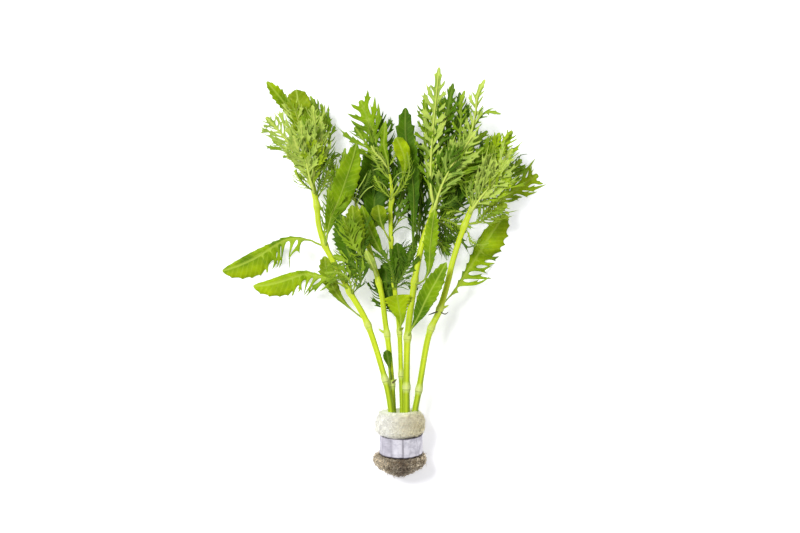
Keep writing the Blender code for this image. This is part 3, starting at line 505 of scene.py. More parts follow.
# Thin bits: width in mm and route as pixel x, pixel y and height in mm.
PALE_STRANDS = (
    (0.7, ((390, 200, 17), (394, 190, 22), (399, 181, 25), (405, 176, 26))),
    (0.6, ((390, 196, 17), (386, 188, 22), (381, 183, 25), (375, 181, 26))),
    (0.6, ((391, 186, 17), (395, 178, 23), (401, 173, 25.5), (408, 173, 26))),
    (0.6, ((389, 176, 18), (384, 171, 24), (379, 169, 26), (373, 171, 26.5))),
    (0.7, ((357, 205, 17), (361, 197, 22), (367, 190, 24.5), (374, 186, 25))),
    (0.6, ((355, 200, 17), (358, 190, 22), (363, 182, 24.5), (367, 174, 25))),
    (0.7, ((480, 190, 20), (487, 182, 24), (496, 175, 26), (506, 166, 26.5))),
    (0.6, ((476, 200, 19), (481, 190, 23), (484, 178, 25.5), (489, 168, 26))),
)
DEEP_STRANDS = (
    (0.7, ((316, 196, 18), (323, 176, 21), (330, 157, 22.5), (337, 153, 22.5), (342, 156, 21.5))),
    (0.6, ((312, 190, 18), (305, 184, 21), (299, 176, 21.5), (296, 168, 21))),
    (0.6, ((500, 172, 20), (512, 163, 22.5), (520, 156, 23), (527, 154.5, 22.5))),
    (0.7, ((391, 238, 16.5), (395, 231, 17.5), (404, 227, 18), (413, 231, 17.5))),
    (0.6, ((392, 226, 16.5), (400, 216, 18.5), (409, 219, 19), (416, 228, 18))),
    (0.8, ((461, 236, 16.5), (464, 245, 17.5), (470, 247, 17.5), (478, 243, 17))),
    (0.7, ((382, 282, 16), (390, 281, 18), (398, 283, 18.5), (404, 279, 18))),
    (0.6, ((384, 288, 16), (392, 288, 18.4), (401, 287, 18.8), (409, 290, 18.4))),
)
DRIED_STRANDS = (
    (0.8, ((439, 311, 18.8), (433, 313, 19.6), (428, 315, 19.4))),
    (0.7, ((440, 312, 18.8), (445, 314, 19), (448, 312, 18.6))),
    (0.9, ((392, 384, 15.2), (393.5, 381.5, 16.6), (396.5, 379.5, 17.2))),
    (0.6, ((400.2, 470, 10.2), (400.4, 474, 10), (400.6, 476.4, 9.6))),
)

# Middle of the shown strip from the tip of the plug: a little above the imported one's.
STRIP_SHOWN = STRIP_MIDDLE + 0.35 * MM
# The strip's grid round and across it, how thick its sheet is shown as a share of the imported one, and how
# wide, and then its wrinkles: height in mm and closeness.
STRIP_GRID = (240, 12)
SHEET_SHARE = 0.6
SHOWN_WIDTH = 0.985
WRINKLES = ((0.16, 1.5), (0.07, 5.0))
# Its uneven edges, a crease's depth, and how far its edges flare and from which share of the half width.
RAGGED_EDGE = 0.6
CREASE_DEPTH = 0.45 * MM
FLARE = 0.22 * MM
FLARE_FROM = 0.75
# Creases of the strip: angle round the plug in degrees, width, lean across the strip, and strength, which
# sets both the crease's depth and its painted shade.
STRIP_CREASES = (
    (117, 13, 2, 0.6), (80, 7, 1.5, 0.4), (148, 6, -2, 0.4), (38, 3, 6, 0.6), (27, 3, -5, 0.5),
    (14, 4, 4, 0.7), (61, 4, -4, 0.3), (203, 5, 3, 0.5), (262, 5, -3, 0.6), (312, 5, 2, 0.5),
)

# Wool: steps along the plug, sides round it, its hollow mouth as rows past the rim with their share of its
# radius, its lumps as height and closeness, how its surface sits against the plug's, how far from the
# strip's middle it is pulled in, and its least height.
WOOL_STEPS = 60
WOOL_SIDES = 56
WOOL_MOUTH = ((0.3 * MM, 0.86), (-0.3 * MM, 0.66), (-1.2 * MM, 0.3))
WOOL_LUMPS = ((0.045, 1.0), (0.03, 3.1), (0.018, 7.3))
WOOL_SHARE = 0.98
LUMP_MEAN = 0.015
HELD_REACH = 5.2 * MM
HELD_FADE = 1.4 * MM
WOOL_LEAST_HEIGHT = 0.1 * MM
# Loose fibres of the two parts of the wool: from and to which distance from the plug's tip, how far some
# stand off it in radians, and how thick they are.
FIBRE_PARTS = (
    ("lower", 0.3 * MM, STRIP_MIDDLE - STRIP_WIDTH / 2 - 0.5 * MM, 0.5, 0.26 * MM),
    ("upper", STRIP_MIDDLE + STRIP_WIDTH / 2 + 0.5 * MM, PLUG_PROFILE[-1][0] * MM - 0.5 * MM, 0.2, 0.15 * MM),
)
# A fibre: where its points lie along it, how far it bows, and its sides.
FIBRE_POINTS = (0.0, 0.33, 0.67, 1.0)
FIBRE_BOW = 0.16
FIBRE_SIDES = 3
# Where fibres lie: the radius at which all are kept, how deep they root, how far they may point inwards,
# their size and their bend, the least heights of root and tip, and how near the strip a tip may come.
FIBRE_SPREAD = 13 * MM
FIBRE_ROOT = 0.96
FIBRE_INWARDS = -0.1
FIBRE_SIZE = (0.55, 1.3)
FIBRE_BEND = (0.7, 1.2)
ROOT_LEAST_HEIGHT = 0.5 * MM
TIP_LEAST_HEIGHT = 0.7 * MM
STRIP_MARGIN = 0.1 * MM
NEXT_POINT = 0.2 * MM

# Photograph's width and middle in pixels, and the lamps: name, strength, softness and turn in degrees.
PHOTO_WIDTH = 800
PHOTO_MIDDLE = (400.0, 266.5)
SUNS = (("key", 2.75, 20.0, (-20, -25, 0)), ("fill", 0.35, 60.0, (30, 35, 0)))


def plan(pixel_x, pixel_y, height=0.0):
    """A point of the plant from its pixel and its height in mm."""
    return Vector(((pixel_x - TIP_PIXEL[0]) * PIXEL, (TIP_PIXEL[1] - pixel_y) * PIXEL, height * MM))


def smooth(value):
    """0 to 1 with soft ends."""
    value = min(max(value, 0.0), 1.0)
    return value * value * (3.0 - 2.0 * value)


class Route:
    """A smooth curve through a few points, read by the distance along it."""

    STEPS = 10

    def __init__(self, points):
        ends = [2 * points[0] - points[1], *points, 2 * points[-1] - points[-2]]
        self.points = []
        for a, b, c, d in zip(ends, ends[1:], ends[2:], ends[3:]):
            for step in range(self.STEPS):
                u = step / self.STEPS
                self.points.append(
                    0.5 * (2 * b + (c - a) * u + (2 * a - 5 * b + 4 * c - d) * u**2
                           + (3 * b - a - 3 * c + d) * u**3)
                )
        self.points.append(points[-1])
        self.reach = [0.0]
        for a, b in zip(self.points, self.points[1:]):
            self.reach.append(self.reach[-1] + (b - a).length)
        self.length = self.reach[-1]

    def at(self, distance):
        """Point and direction there, carried straight on past either end."""
        i = min(max(bisect.bisect_right(self.reach, distance) - 1, 0), len(self.points) - 2)
        a, b = self.points[i], self.points[i + 1]
        way = (b - a).normalized()
        return a + way * (distance - self.reach[i]), way

    def nearest(self, x, y):
        """Distance along the route of its point nearest in plan."""
        best = min(range(len(self.points)),
                   key=lambda i: (self.points[i].x - x) ** 2 + (self.points[i].y - y) ** 2)
        return self.reach[best]

    def at_row(self, pixel_y):
        """Distance along the route where it crosses that row of the photograph."""
        y = plan(0, pixel_y).y
        best = min(range(len(self.points)), key=lambda i: abs(self.points[i].y - y))
        return self.reach[best]


def plug_frame():
    """Turns the plug's own frame, its axis along +Y from the tip, to where it lies."""
    lift = PLUG_AXIS_HEIGHT - PLUG_WIDEST_AT * math.sin(PLUG_TILT)
    return Matrix.Translation((0.0, 0.0, lift)) @ Matrix.Rotation(PLUG_TILT, 4, "X")


def ring_wave(angle):
    """Radius at that angle as a share of the round one."""
    return 1.0 + sum(high * math.cos(count * angle + turn) for count, high, turn in PLUG_WAVES)


def slant(along, angle):
    """The waist and its strip sit a little askew, lower on the upper side."""
    near = smooth((SLANT_REACH - abs(along - STRIP_MIDDLE)) / SLANT_FADE)
    return -STRIP_SLANT * math.sin(angle) * near


def stem_radius(radius, nodes, distance):
    """Swollen at the nodes."""
    swell = max((1.0 - abs(distance - node) / (2 * NODE_HALF_LENGTH) for node in nodes), default=0.0)
    return radius * (1.0 + (NODE_SWELL - 1.0) * smooth(swell))


class Leaf:
    """A leaf's place: its route in plan, its start on the stem, and its height along the route."""

    def __init__(self, row, stems):
        self.name, self.side, pixels, width, form, self.tone, roll, tip, self.laid = row
        self.form_name, self.form = form, FORMS[form]
        self.width = width * PIXEL
        self.roll = math.radians(roll)
        self.tip = tip * MM
        letter = self.name[5]
        radius, route = STEMS[letter][0] * MM * NODE_SWELL, stems[letter]
        points = [plan(*p) for p in pixels]
        centre, way = route.at(route.nearest(points[0].x, points[0].y))
        out = points[1] - points[0]
        flat_way = Vector((way.x, way.y, 0.0)).normalized()
        sideways = out - flat_way * out.dot(flat_way)
        self.base = centre.z
        if sideways.length > WIDE_ANGLE_SHARE * out.length:
            points[0] = Vector((centre.x, centre.y, 0.0)) + sideways.normalized() * (radius + SIDE_SEAT)
        else:
            points[0] = Vector((centre.x, centre.y, 0.0))
            self.base += self.side * (radius + LEAF_SEAT)
        self.route = Route(points)
        self.length = self.route.length
        self.lift = 0.0
        self.rib = RIB

    def height(self, distance):
        """Height of the midrib: up or down from the stem, and down to the surface at a laid tip."""
        risen = self.base + self.lift * smooth(distance / RAMP_LENGTH)
        risen += self.tip * (distance / self.length) ** 2
        return risen + (LAID_HEIGHT - risen) * self.on_surface(distance)

    def on_surface(self, distance):
        """How far the leaf is down on the surface, 0 to 1."""
        if not self.laid:
            return 0.0
        start = (1.0 - self.laid) * LAY_START
        return smooth((distance / self.length - start) / (1.0 - self.laid - start))

    def place(self, local):
        """A point of the flat leaf, carried to its place on the plant."""
        distance = local.y
        point, flat = self.route.at(distance)
        step = 0.5 * MM
        slope = (self.height(distance + step) - self.height(distance - step)) / (2 * step)
        way = Vector((flat.x, flat.y, slope)).normalized()
        across = Vector((flat.y, -flat.x, 0.0)).normalized()
        up = across.cross(way)
        free = (1.0 - self.on_surface(distance)) * smooth(distance / RAMP_LENGTH)
        turn = self.roll * free
        side = across * math.cos(turn) + up * math.sin(turn)
        normal = up * math.cos(turn) - across * math.sin(turn)
        keel = KEEL * abs(local.x) * free
        centre = Vector((point.x, point.y, self.height(distance)))
        return centre + side * local.x + normal * (local.z + keel)


# Building in mesh

def on_plant(points):
    return [plan(*p) for p in points]


def tube(bm, centres, radii, sides, spread=None):
    """A closed tube through the centres. spread gives the radius at an angle as a share of the round one."""
    verts = bmesh.ops.create_circle(bm, segments=sides, radius=1.0, cap_ends=True)["verts"]
    face = verts[0].link_faces[0]
    angles = {v: math.atan2(v.co.y, v.co.x) for v in verts}
    made = []
    across = None
    for number, (centre, radius) in enumerate(zip(centres, radii)):
        before, after = centres[max(number - 1, 0)], centres[min(number + 1, len(centres) - 1)]
        way = (after - before).normalized()
        if across is None:
            across = way.cross(Vector((0, 0, 1)) if abs(way.z) < 0.9 else Vector((1, 0, 0))).normalized()
        across = (across - way * across.dot(way)).normalized()
        up = across.cross(way)
        if number:
            old = list(face.verts)
            face = bmesh.ops.extrude_discrete_faces(bm, faces=[face])["faces"][0]
            for a, b in zip(old, face.verts):
                angles[b] = angles[a]
        for v in face.verts:
            turn = angles[v]
            wide = radius * (spread(turn, number) if spread else 1.0)
            v.co = centre + (across * math.cos(turn) + up * math.sin(turn)) * wide
        made.append(list(face.verts))
    bmesh.ops.holes_fill(bm, edges=[e for e in bm.edges if e.is_boundary])
    return made


def face_outwards(bm):
    bmesh.ops.recalc_face_normals(bm, faces=bm.faces)
    if bm.calc_volume(signed=True) < 0.0:
        bmesh.ops.reverse_faces(bm, faces=bm.faces)


def mesh_of(bm, name):
    mesh = bpy.data.meshes.new(name)
    bm.to_mesh(mesh)
    bm.free()
    mesh.shade_smooth()
    return mesh


def with_modifiers(mesh, settings):
    """The mesh as it comes out of a row of modifiers, each given as its type and its values."""
    piece = bpy.data.objects.new("forming", mesh)
    bpy.context.scene.collection.objects.link(piece)
    for kind, values in settings:
        modifier = piece.modifiers.new(kind.lower(), kind)
        for key, value in values.items():
            setattr(modifier, key, value)
    formed = piece.evaluated_get(bpy.context.evaluated_depsgraph_get())
    result = bpy.data.meshes.new_from_object(formed)
    bpy.data.objects.remove(piece)
    return result


def finish_piece(name, mesh, materials, nodes=()):
    """Moves a finished mesh from the plant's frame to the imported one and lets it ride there."""
    mesh.transform(Matrix.Translation(PLANT_PLACE))
    mesh.materials.clear()
    for finish in materials:
        mesh.materials.append(finish)
    piece = bpy.data.objects.new(name, mesh)
    bpy.context.scene.collection.objects.link(piece)
    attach(piece, "root")
    if nodes:
        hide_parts(*nodes)
    return piece


def many(template, places, values):
    """One mesh of a template set at many places, with a value of its own kept for each copy."""
    shape = np.array([v.co for v in template.vertices])
    faces = [list(p.vertices) for p in template.polygons]
    turns = np.array(places)
    coords = np.einsum("nij,vj->nvi", turns[:, :3, :3], shape) + turns[:, None, :3, 3]
    count = len(shape)
    all_faces = [[i + n * count for i in face] for n in range(len(places)) for face in faces]
    mesh = bpy.data.meshes.new("many")
    mesh.from_pydata(coords.reshape(-1, 3).tolist(), [], all_faces)
    mesh.shade_smooth()
    layer = mesh.attributes.new("shade", "FLOAT", "POINT")
    layer.data.foreach_set("value", np.repeat(np.array(values, np.float32), count))
    return mesh


def plug_point(along, radius, angle):
    """A point of the plug: distance from the tip, distance from the axis and angle round it."""
    wide = radius * ring_wave(angle)
    point = Vector((math.cos(angle) * wide, along + slant(along, angle), math.sin(angle) * wide))
    return plug_frame() @ point


def plant_place():
    """Where the plant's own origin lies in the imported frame, read from the plug's box."""
    turns = [2 * math.pi * i / PLUG_SIDES for i in range(PLUG_SIDES)]
    points = [plug_point(along * MM, radius * MM, turn) for along, radius in PLUG_PROFILE for turn in turns]
    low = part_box("wool_wrap")[0]
    return Vector((low.x - min(p.x for p in points), low.y - min(p.y for p in points), 0.0))


PLANT_PLACE = plant_place()


def stem_routes():
    return {letter: Route(on_plant(points)) for letter, (_, points, _) in STEMS.items()}


def cad_tree(node):
    """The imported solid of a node, as a tree to cast rays at, in the plant's frame."""
    mesh = frame["nodes"][node].data
    return BVHTree.FromPolygons([v.co - PLANT_PLACE for v in mesh.vertices],
                                [p.vertices for p in mesh.polygons])


def read_lift(leaf):
    """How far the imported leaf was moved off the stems, from the height of its midrib."""
    tree = cad_tree(leaf.name)
    found = []
    for step in range(LIFT_READINGS):
        distance = leaf.length * (LIFT_FIRST + LIFT_STEP * step)
        down = 1.0 - leaf.on_surface(distance)
        rise = smooth(distance / RAMP_LENGTH) * down
        if rise < LIFT_RISE_LEAST:
            continue
        point = leaf.route.at(distance)[0]
        top = tree.ray_cast(Vector((point.x, point.y, LOOK_FROM)), Vector((0, 0, -1)))[0]
        bottom = tree.ray_cast(Vector((point.x, point.y, -LOOK_FROM)), Vector((0, 0, 1)))[0]
        if top and bottom:
            found.append(((top.z + bottom.z) / 2 - leaf.height(distance)) / rise)
    return sorted(found)[len(found) // 2] if found else 0.0


# Leaves

def blade_rows(leaf, cut):
    """Rows across a blade: distance along it, half widths left and right, and place in the lobe (0 to 2)."""
    form, length, width = leaf.form, leaf.length, leaf.width
    stalk = form["stalk"] * length
    power = math.log(0.5) / math.log(form["widest"])
    parts = form["share"], 1.0 - form["share"]

    def reach(share):
        share = min(max(share, 0.0), 1.0)
        cone = form["cone"] * min(share / form["widest"], (1.0 - share) / (1.0 - form["widest"]))
        return width * max(math.sin(math.pi * share**power) ** form["full"], cone)

    def margin(share, side, part):
        depth = form[side] * (1.0 + (form["even"] - 1.0) * smooth((share - EVEN_FROM) / EVEN_OVER))
        depth *= cut["depth"] * (1.0 - cut["lance"] * smooth((share - SHALLOW_FROM) / SHALLOW_OVER))
        return max(reach(share) * part * (1.0 - min(depth, DEEPEST_CUT)), THIN_BLADE)

    rows = [(stalk * BLADE_START, THIN_BLADE, THIN_BLADE, None, None)]
    step = LOBED_SHARE / cut["lobes"]
    for lobe in range(cut["lobes"]):
        middle = FIRST_LOBE + step * (lobe + 0.5)
        half = step * form["fill"] / 2
        tips = [reach(middle) * part for part in parts]
        for number, share in enumerate((middle - half, middle, middle + half)):
            sides = [margin(share, side, part) for side, part in zip(("left", "right"), parts)]
            rows.append((stalk + share * (length - stalk), *sides, number, tips))
    last = rows[-1]
    rest = length - last[0]
    least = THIN_BLADE * THIN_AT_TIP
    for share in TIP_ROWS:
        along = last[0] + rest * share
        wide = reach((along - stalk) / (length - stalk))
        sides = [max(min(wide * part, side), least) for part, side in zip(parts, last[1:3])]
        rows.append((along, *sides, None, None))
    return rows


def row_places(row, whole):
    """Where the points of a row lie across the blade."""
    shares = (-1.0, -0.5, 0.0, 0.5, 1.0) if whole else (-1.0, 0.0, 1.0)
    return [share * (row[1] if share < 0 else row[2]) for share in shares]


class Blade:
    """A flat leaf under growth: x across, y along, z out of it, with each point's distance to its vein."""

    def __init__(self, leaf, chance):
        self.leaf = leaf
        self.chance = chance
        self.cut = CUTS[leaf.form_name]
        self.bm = bmesh.new()
        self.vein = self.bm.verts.layers.float.new("vein")
        self.tint = self.bm.verts.layers.float.new("tint")
        self.reach = self.bm.verts.layers.float.new("reach")
        self.sharp = self.bm.verts.layers.float.new("crease_vert")
        self.map = self.bm.loops.layers.uv.new("blade")

    def grow(self):
        """The whole blade: rows from the stalk to the tip, then teeth or lobes on both margins."""
        whole = max(self.leaf.form["left"], self.leaf.form["right"]) < 0.5
        rows = blade_rows(self.leaf, self.cut)
        bm = self.bm
        row = [bm.verts.new((x, rows[0][0], 0.0)) for x in row_places(rows[0], whole)]
        edges = [bm.edges.new(pair) for pair in zip(row, row[1:])]
        margins = {"left": [row[0]], "right": [row[-1]]}
        for line in rows[1:]:
            row, edges = self.next_row(row, edges, row_places(line, whole), line[0])
            margins["left"].append(row[0])
            margins["right"].append(row[-1])
        self.come_to_point(edges, (0.0, self.leaf.length, 0.0))
        own = self.chance.random()
        for v in bm.verts:
            v[self.vein] = abs(v.co.x)
            v[self.tint] = own
        for side, sign, place in (("left", -1.0, 0), ("right", 1.0, 1)):
            for number, line in enumerate(rows):
                if line[3] == 1:
                    base = margins[side][number - 1:number + 2]
                    self.grow_margin(base, sign, line[4][place], self.leaf.form[side])
        self.shape_out_of_plane()
        for face in bm.faces:
            for loop in face.loops:
                loop[self.map].uv = (loop.vert.co.x / MM, loop.vert.co.y / MM)
        return bm

    def come_to_point(self, edges, tip, **values):
        """Extrudes a row of edges and draws it together to a point, with the point's own values."""
        made = bmesh.ops.extrude_edge_only(self.bm, edges=edges)["geom"]
        ends = [v for v in made if isinstance(v, bmesh.types.BMVert)]
        for v in ends:
            for key, value in values.items():
                v[getattr(self, key)] = value
        bmesh.ops.pointmerge(self.bm, verts=ends, merge_co=tip)

    def next_row(self, row, edges, xs, along):
        """Extrudes a row of edges to the next row."""
        made = bmesh.ops.extrude_edge_only(self.bm, edges=edges)["geom"]
        order = {}
        for v in made:
            if isinstance(v, bmesh.types.BMVert):
                source = next(e.other_vert(v) for e in v.link_edges if e.other_vert(v) in row)
                order[source] = v
        new = [order[v] for v in row]
        for v, x in zip(new, xs):
            v.co = Vector((x, along, 0.0))
        return new, [self.bm.edges.get(pair) for pair in zip(new, new[1:])]

    def grow_margin(self, base, sign, full, depth):
        """A forward-pointing tooth on a whole margin, or a long lobe on a deeply cut one."""
        first, middle, last = base
        chance, cut = self.chance, self.cut
        step = last.co.y - first.co.y
        out = full - abs(middle.co.x)
        short = SHORT_ON_UNEVEN if self.leaf.form["even"] < 0.5 else SHORT_ON_EVEN
        if depth < LOBED_FROM or out < step * short:
            middle.co.x += sign * out * (1.0 - cut["uneven"] * chance.random())
            middle.co.y += step * chance.uniform(*TOOTH_ON)
            middle[self.sharp] = 1.0
            return
        share = middle.co.y / self.leaf.length
        longer = 1.0 + cut["hang"] * (1.0 - smooth(share / HANG_REACH))
        full = abs(middle.co.x) + out * longer * (LONGEST_LOBE - cut["uneven"] * chance.random())
        slip = step * chance.uniform(-LOBE_SLIP, LOBE_SLIP)
        for v in base:
            v.co.y += slip
        self.grow_lobe(base, sign, full)

    def grow_lobe(self, base, sign, full):
        """A slim lobe that bends on to the tip, with small teeth on its sides."""
        bm, chance, cut = self.bm, self.chance, self.cut
        first, middle, last = base
        start = middle.co.copy()
        out = full - abs(start.x)
        lean = cut["lean"] * out * chance.uniform(*LEAN_RANGE)
        end = Vector((sign * full, start.y + lean, 0.0))
        bend = start + Vector((sign * out * chance.uniform(*BEND_OUT), lean * chance.uniform(*BEND_ON), 0.0))
        tint = (middle[self.tint] + chance.random()) / 2
        half = (last.co.y - first.co.y) / 2
        lift = cut["lift"] * out * chance.uniform(-1.0, 1.0)
        row, edges = [first, middle, last], [bm.edges.get((first, middle)), bm.edges.get((middle, last))]
        rings = [row]
        for number in range(1, LOBE_ROWS):
            t = number / LOBE_ROWS
            centre = start * (1 - t) ** 2 + bend * 2 * t * (1 - t) + end * t * t
            way = ((bend - start) * (1 - t) + (end - bend) * t).normalized()
            side = Vector((-way.y, way.x, 0.0)) * sign
            fuller = LOBE_FULLER if number == 2 else 1.0
            wide = min(half * cut["slim"] * (1.0 - LOBE_TAPER * t * t) * fuller, out * LOBE_WIDEST)
            row, edges = self.next_row(row, edges, (0.0, 0.0, 0.0), 0.0)
            for v, share in zip(row, (-1.0, 0.0, 1.0)):
                v.co = centre + side * wide * share
                v.co.z = lift * t * t + LOBE_TROUGH * wide * abs(share)
                v[self.vein] = LOBE_VEIN + wide * abs(share)
                v[self.tint] = tint
            rings.append(row)
        end.z = lift
        self.come_to_point(edges, end, vein=TIP_VEIN, tint=tint, sharp=1.0)
        first[self.vein] = last[self.vein] = abs(first.co.x)
        middle[self.vein] = min(abs(start.x), ROOT_VEIN)
        for inner, outer in list(zip(rings[1:], rings[2:]))[:cut["teeth"]]:
            for edge_side in (0, 2):
                if out > TOOTHED_FROM and chance.random() < TOOTH_CHANCE:
                    self.grow_tooth(inner[edge_side], outer[edge_side], inner[1], out)

    def grow_tooth(self, a, b, inner, out):
        """A small side tooth, pointing out and on."""
        away = (a.co - inner.co).normalized()
        on = (b.co - a.co).normalized()
        reach = min(out * self.chance.uniform(*TOOTH_SHARE), TOOTH_MOST)
        tip = (a.co + b.co) / 2 + (away * TOOTH_OUT + on) * reach
        self.come_to_point([self.bm.edges.get((a, b))], tip, vein=TOOTH_VEIN, sharp=1.0)

    def shape_out_of_plane(self):
        """Margins that wave a little, halves that fold up from the midrib and a slight bow along the leaf,
        all flattened where it lies down.
        """
        wave = self.chance.uniform(*WAVE_START)
        length = self.chance.uniform(*WAVE_LENGTH) * MM
        half = max(self.leaf.width / 2, MM)
        fold = self.cut["fold"] * self.chance.uniform(*FOLD_RANGE)
        bow = self.chance.uniform(*BOW_RANGE) * self.leaf.length
        for v in self.bm.verts:
            share = min(abs(v.co.x) / half, 1.0)
            v[self.reach] = v.co.y / self.leaf.length
            turn = 2 * math.pi * v.co.y / length + wave + (WAVE_AHEAD if v.co.x > 0 else 0.0)
            ripple = leaf_settings().ripple * share * share * math.sin(turn)
            free = 1.0 - LAID_FLAT * self.leaf.on_surface(v.co.y)
            v.co.z = (v.co.z + ripple + fold * abs(v.co.x) + bow * v[self.reach] ** 2) * free


def rib_rings(leaf, stem):
    """The stalk from inside the stem and on along the blade as its midrib: centres and radii."""
    heart = stem.at(stem.nearest(*leaf.route.points[0].xy))[0]
    centres, radii = [heart], [leaf.rib]
    steps = max(int(leaf.length * RIB_REACH / RIB_STEP), RIB_STEPS_LEAST)
    for step in range(1, steps + 1):
        distance = leaf.length * RIB_REACH * step / steps
        join = smooth(distance / RIB_JOIN)
        raised = RIB_RAISED * leaf.rib if leaf.tone == "pale" else 0.0
        centre = heart.lerp(leaf.place(Vector((0.0, distance, raised))), join)
        share = distance / leaf.length
        stalk = leaf.form["stalk"]
        if share < stalk:
            wide = leaf.rib * (1.0 + STALK_SWELL - STALK_SWELL * share / stalk)
        else:
            wide = leaf.rib * (RIB_AT_TIP + RIB_TAPER * (1.0 - (share - stalk) / (1.0 - stalk)))
        centres.append(centre)
        radii.append(wide)
    return centres, radii


def held_down(height):
    """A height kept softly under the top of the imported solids."""
    start = FRAME_BOX[1][2] - TOP_ROOM
    return height if height < start else start + TOP_ROOM * (1.0 - math.exp((start - height) / TOP_ROOM))


def leaf_mesh(leaf, stem):
    """A grown leaf in its place: a thin blade with two faces, and its stalk and midrib."""
    settings = leaf_settings()
    bm = Blade(leaf, random.Random(leaf.name)).grow()
    for v in bm.verts:
        v.co = leaf.place(v.co)
        v.co.z = held_down(max(v.co.z, settings.thickness))
    bmesh.ops.recalc_face_normals(bm, faces=bm.faces)
    if sum(face.normal.z for face in bm.faces) < 0.0:
        bmesh.ops.reverse_faces(bm, faces=bm.faces)
    sheet = with_modifiers(mesh_of(bm, "sheet"), (
        ("SUBSURF", dict(levels=1, render_levels=1)),
        ("SOLIDIFY", dict(thickness=settings.thickness, offset=0.0, use_even_offset=False,
                          material_offset=1, material_offset_rim=0)),
    ))
    whole = bmesh.new()
    whole.from_mesh(sheet)
    rib = bmesh.new()
    centres, radii = rib_rings(leaf, stem)
    tube(rib, centres, radii, THIN_SIDES)
    face_outwards(rib)
    part = mesh_of(rib, "rib")
    whole.from_mesh(part)
    bpy.data.meshes.remove(sheet)
    bpy.data.meshes.remove(part)
    return mesh_of(whole, leaf.name)


# Materials

class Graph:
    """Adds nodes to a tree, each with its values and links in one call."""

    def __init__(self, tree):
        self.tree = tree

    def add(self, kind, inputs=(), **settings):
        node = self.tree.nodes.new("ShaderNode" + kind)
        for key, value in settings.items():
            setattr(node, key, value)
        for key, value in dict(inputs).items():
            if isinstance(value, bpy.types.NodeSocket):
                self.tree.links.new(value, node.inputs[key])
            else:
                node.inputs[key].default_value = value
        return node

    def object_coords(self):
        return self.add("TexCoord").outputs["Object"]

    def noise(self, coords, scale, detail=2.0, roughness=0.5):
        values = {"Vector": coords, "Scale": scale, "Detail": detail, "Roughness": roughness}
        return self.add("TexNoise", values).outputs["Fac"]

    def attribute(self, name):
        return self.add("Attribute", attribute_name=name).outputs["Fac"]

    def ramp(self, value, low, high, to_low=0.0, to_high=1.0):
        node = self.add("MapRange", {0: value, 1: low, 2: high, 3: to_low, 4: to_high}, clamp=True)
        return node.outputs[0]

    def math(self, operation, a, b=0.0):
        return self.add("Math", {0: a, 1: b}, operation=operation).outputs[0]

    def mix(self, factor, a, b, blend="MIX"):
        node = self.add("Mix", {0: factor, 6: a, 7: b}, data_type="RGBA", blend_type=blend)
        return node.outputs[2]


def new_group(name, inputs, outputs):
    """A node group with its sockets; gives the group, its graph and its input and output nodes."""
    group = bpy.data.node_groups.new(name, "ShaderNodeTree")
    for title, kind, value in inputs:
        socket = group.interface.new_socket(title, in_out="INPUT", socket_type="NodeSocket" + kind)
        socket.default_value = value
    for title, kind in outputs:
        group.interface.new_socket(title, in_out="OUTPUT", socket_type="NodeSocket" + kind)
    graph = Graph(group)
    entry = group.nodes.new("NodeGroupInput").outputs
    leave = group.nodes.new("NodeGroupOutput").inputs
    return group, graph, entry, leave


def tissue_group():
    """Living leaf and stem tissue: two tones in soft patches, fine speckle, and a little relief. On a leaf
    the Shade tone gathers towards the base and the Face tone towards the tip: painted shade of the bunch over
    the base, together with the tip's own fresher green.
    """
    group, g, entry, leave = new_group(
        "plant_tissue",
        (("Face", "Color", (0.2, 0.4, 0.05, 1)), ("Shade", "Color", (0.1, 0.2, 0.02, 1)),
         ("Patch Scale", "Float", 90.0), ("Speckle", "Float", 0.25)),
        (("Color", "Color"), ("Relief", "Float"), ("Roughness", "Float")),
    )
    coords = g.object_coords()
    patch = g.noise(coords, entry["Patch Scale"], 3.0)
    tint = g.attribute("tint")
    reach = g.attribute("reach")
    # tint is each leaf's and lobe's own tone. reach tips the mix to the Shade tone at a leaf's base, as
    # painted shade of the bunch, and to the Face tone at its fresher tip.
    blend = g.math("ADD", patch, g.math("MULTIPLY", g.math("SUBTRACT", tint, reach), 0.2))
    colour = g.mix(g.ramp(blend, 0.34, 0.66), entry["Face"], entry["Shade"])
    speckle = g.noise(coords, 1500.0, 2.0)
    flecked = g.math("MULTIPLY", g.ramp(speckle, 0.45, 0.7), entry["Speckle"])
    dark = g.mix(flecked, (1, 1, 1, 1), (0.55, 0.62, 0.4, 1))
    colour = g.mix(1.0, colour, dark, "MULTIPLY")
    g.tree.links.new(colour, leave["Color"])
    pucker = g.noise(coords, 480.0, 2.0)
    g.tree.links.new(g.math("ADD", g.math("MULTIPLY", pucker, 0.7), g.math("MULTIPLY", speckle, 0.3)),
                     leave["Relief"])
    g.tree.links.new(g.ramp(patch, 0.3, 0.7, 0.42, 0.6), leave["Roughness"])
    return group


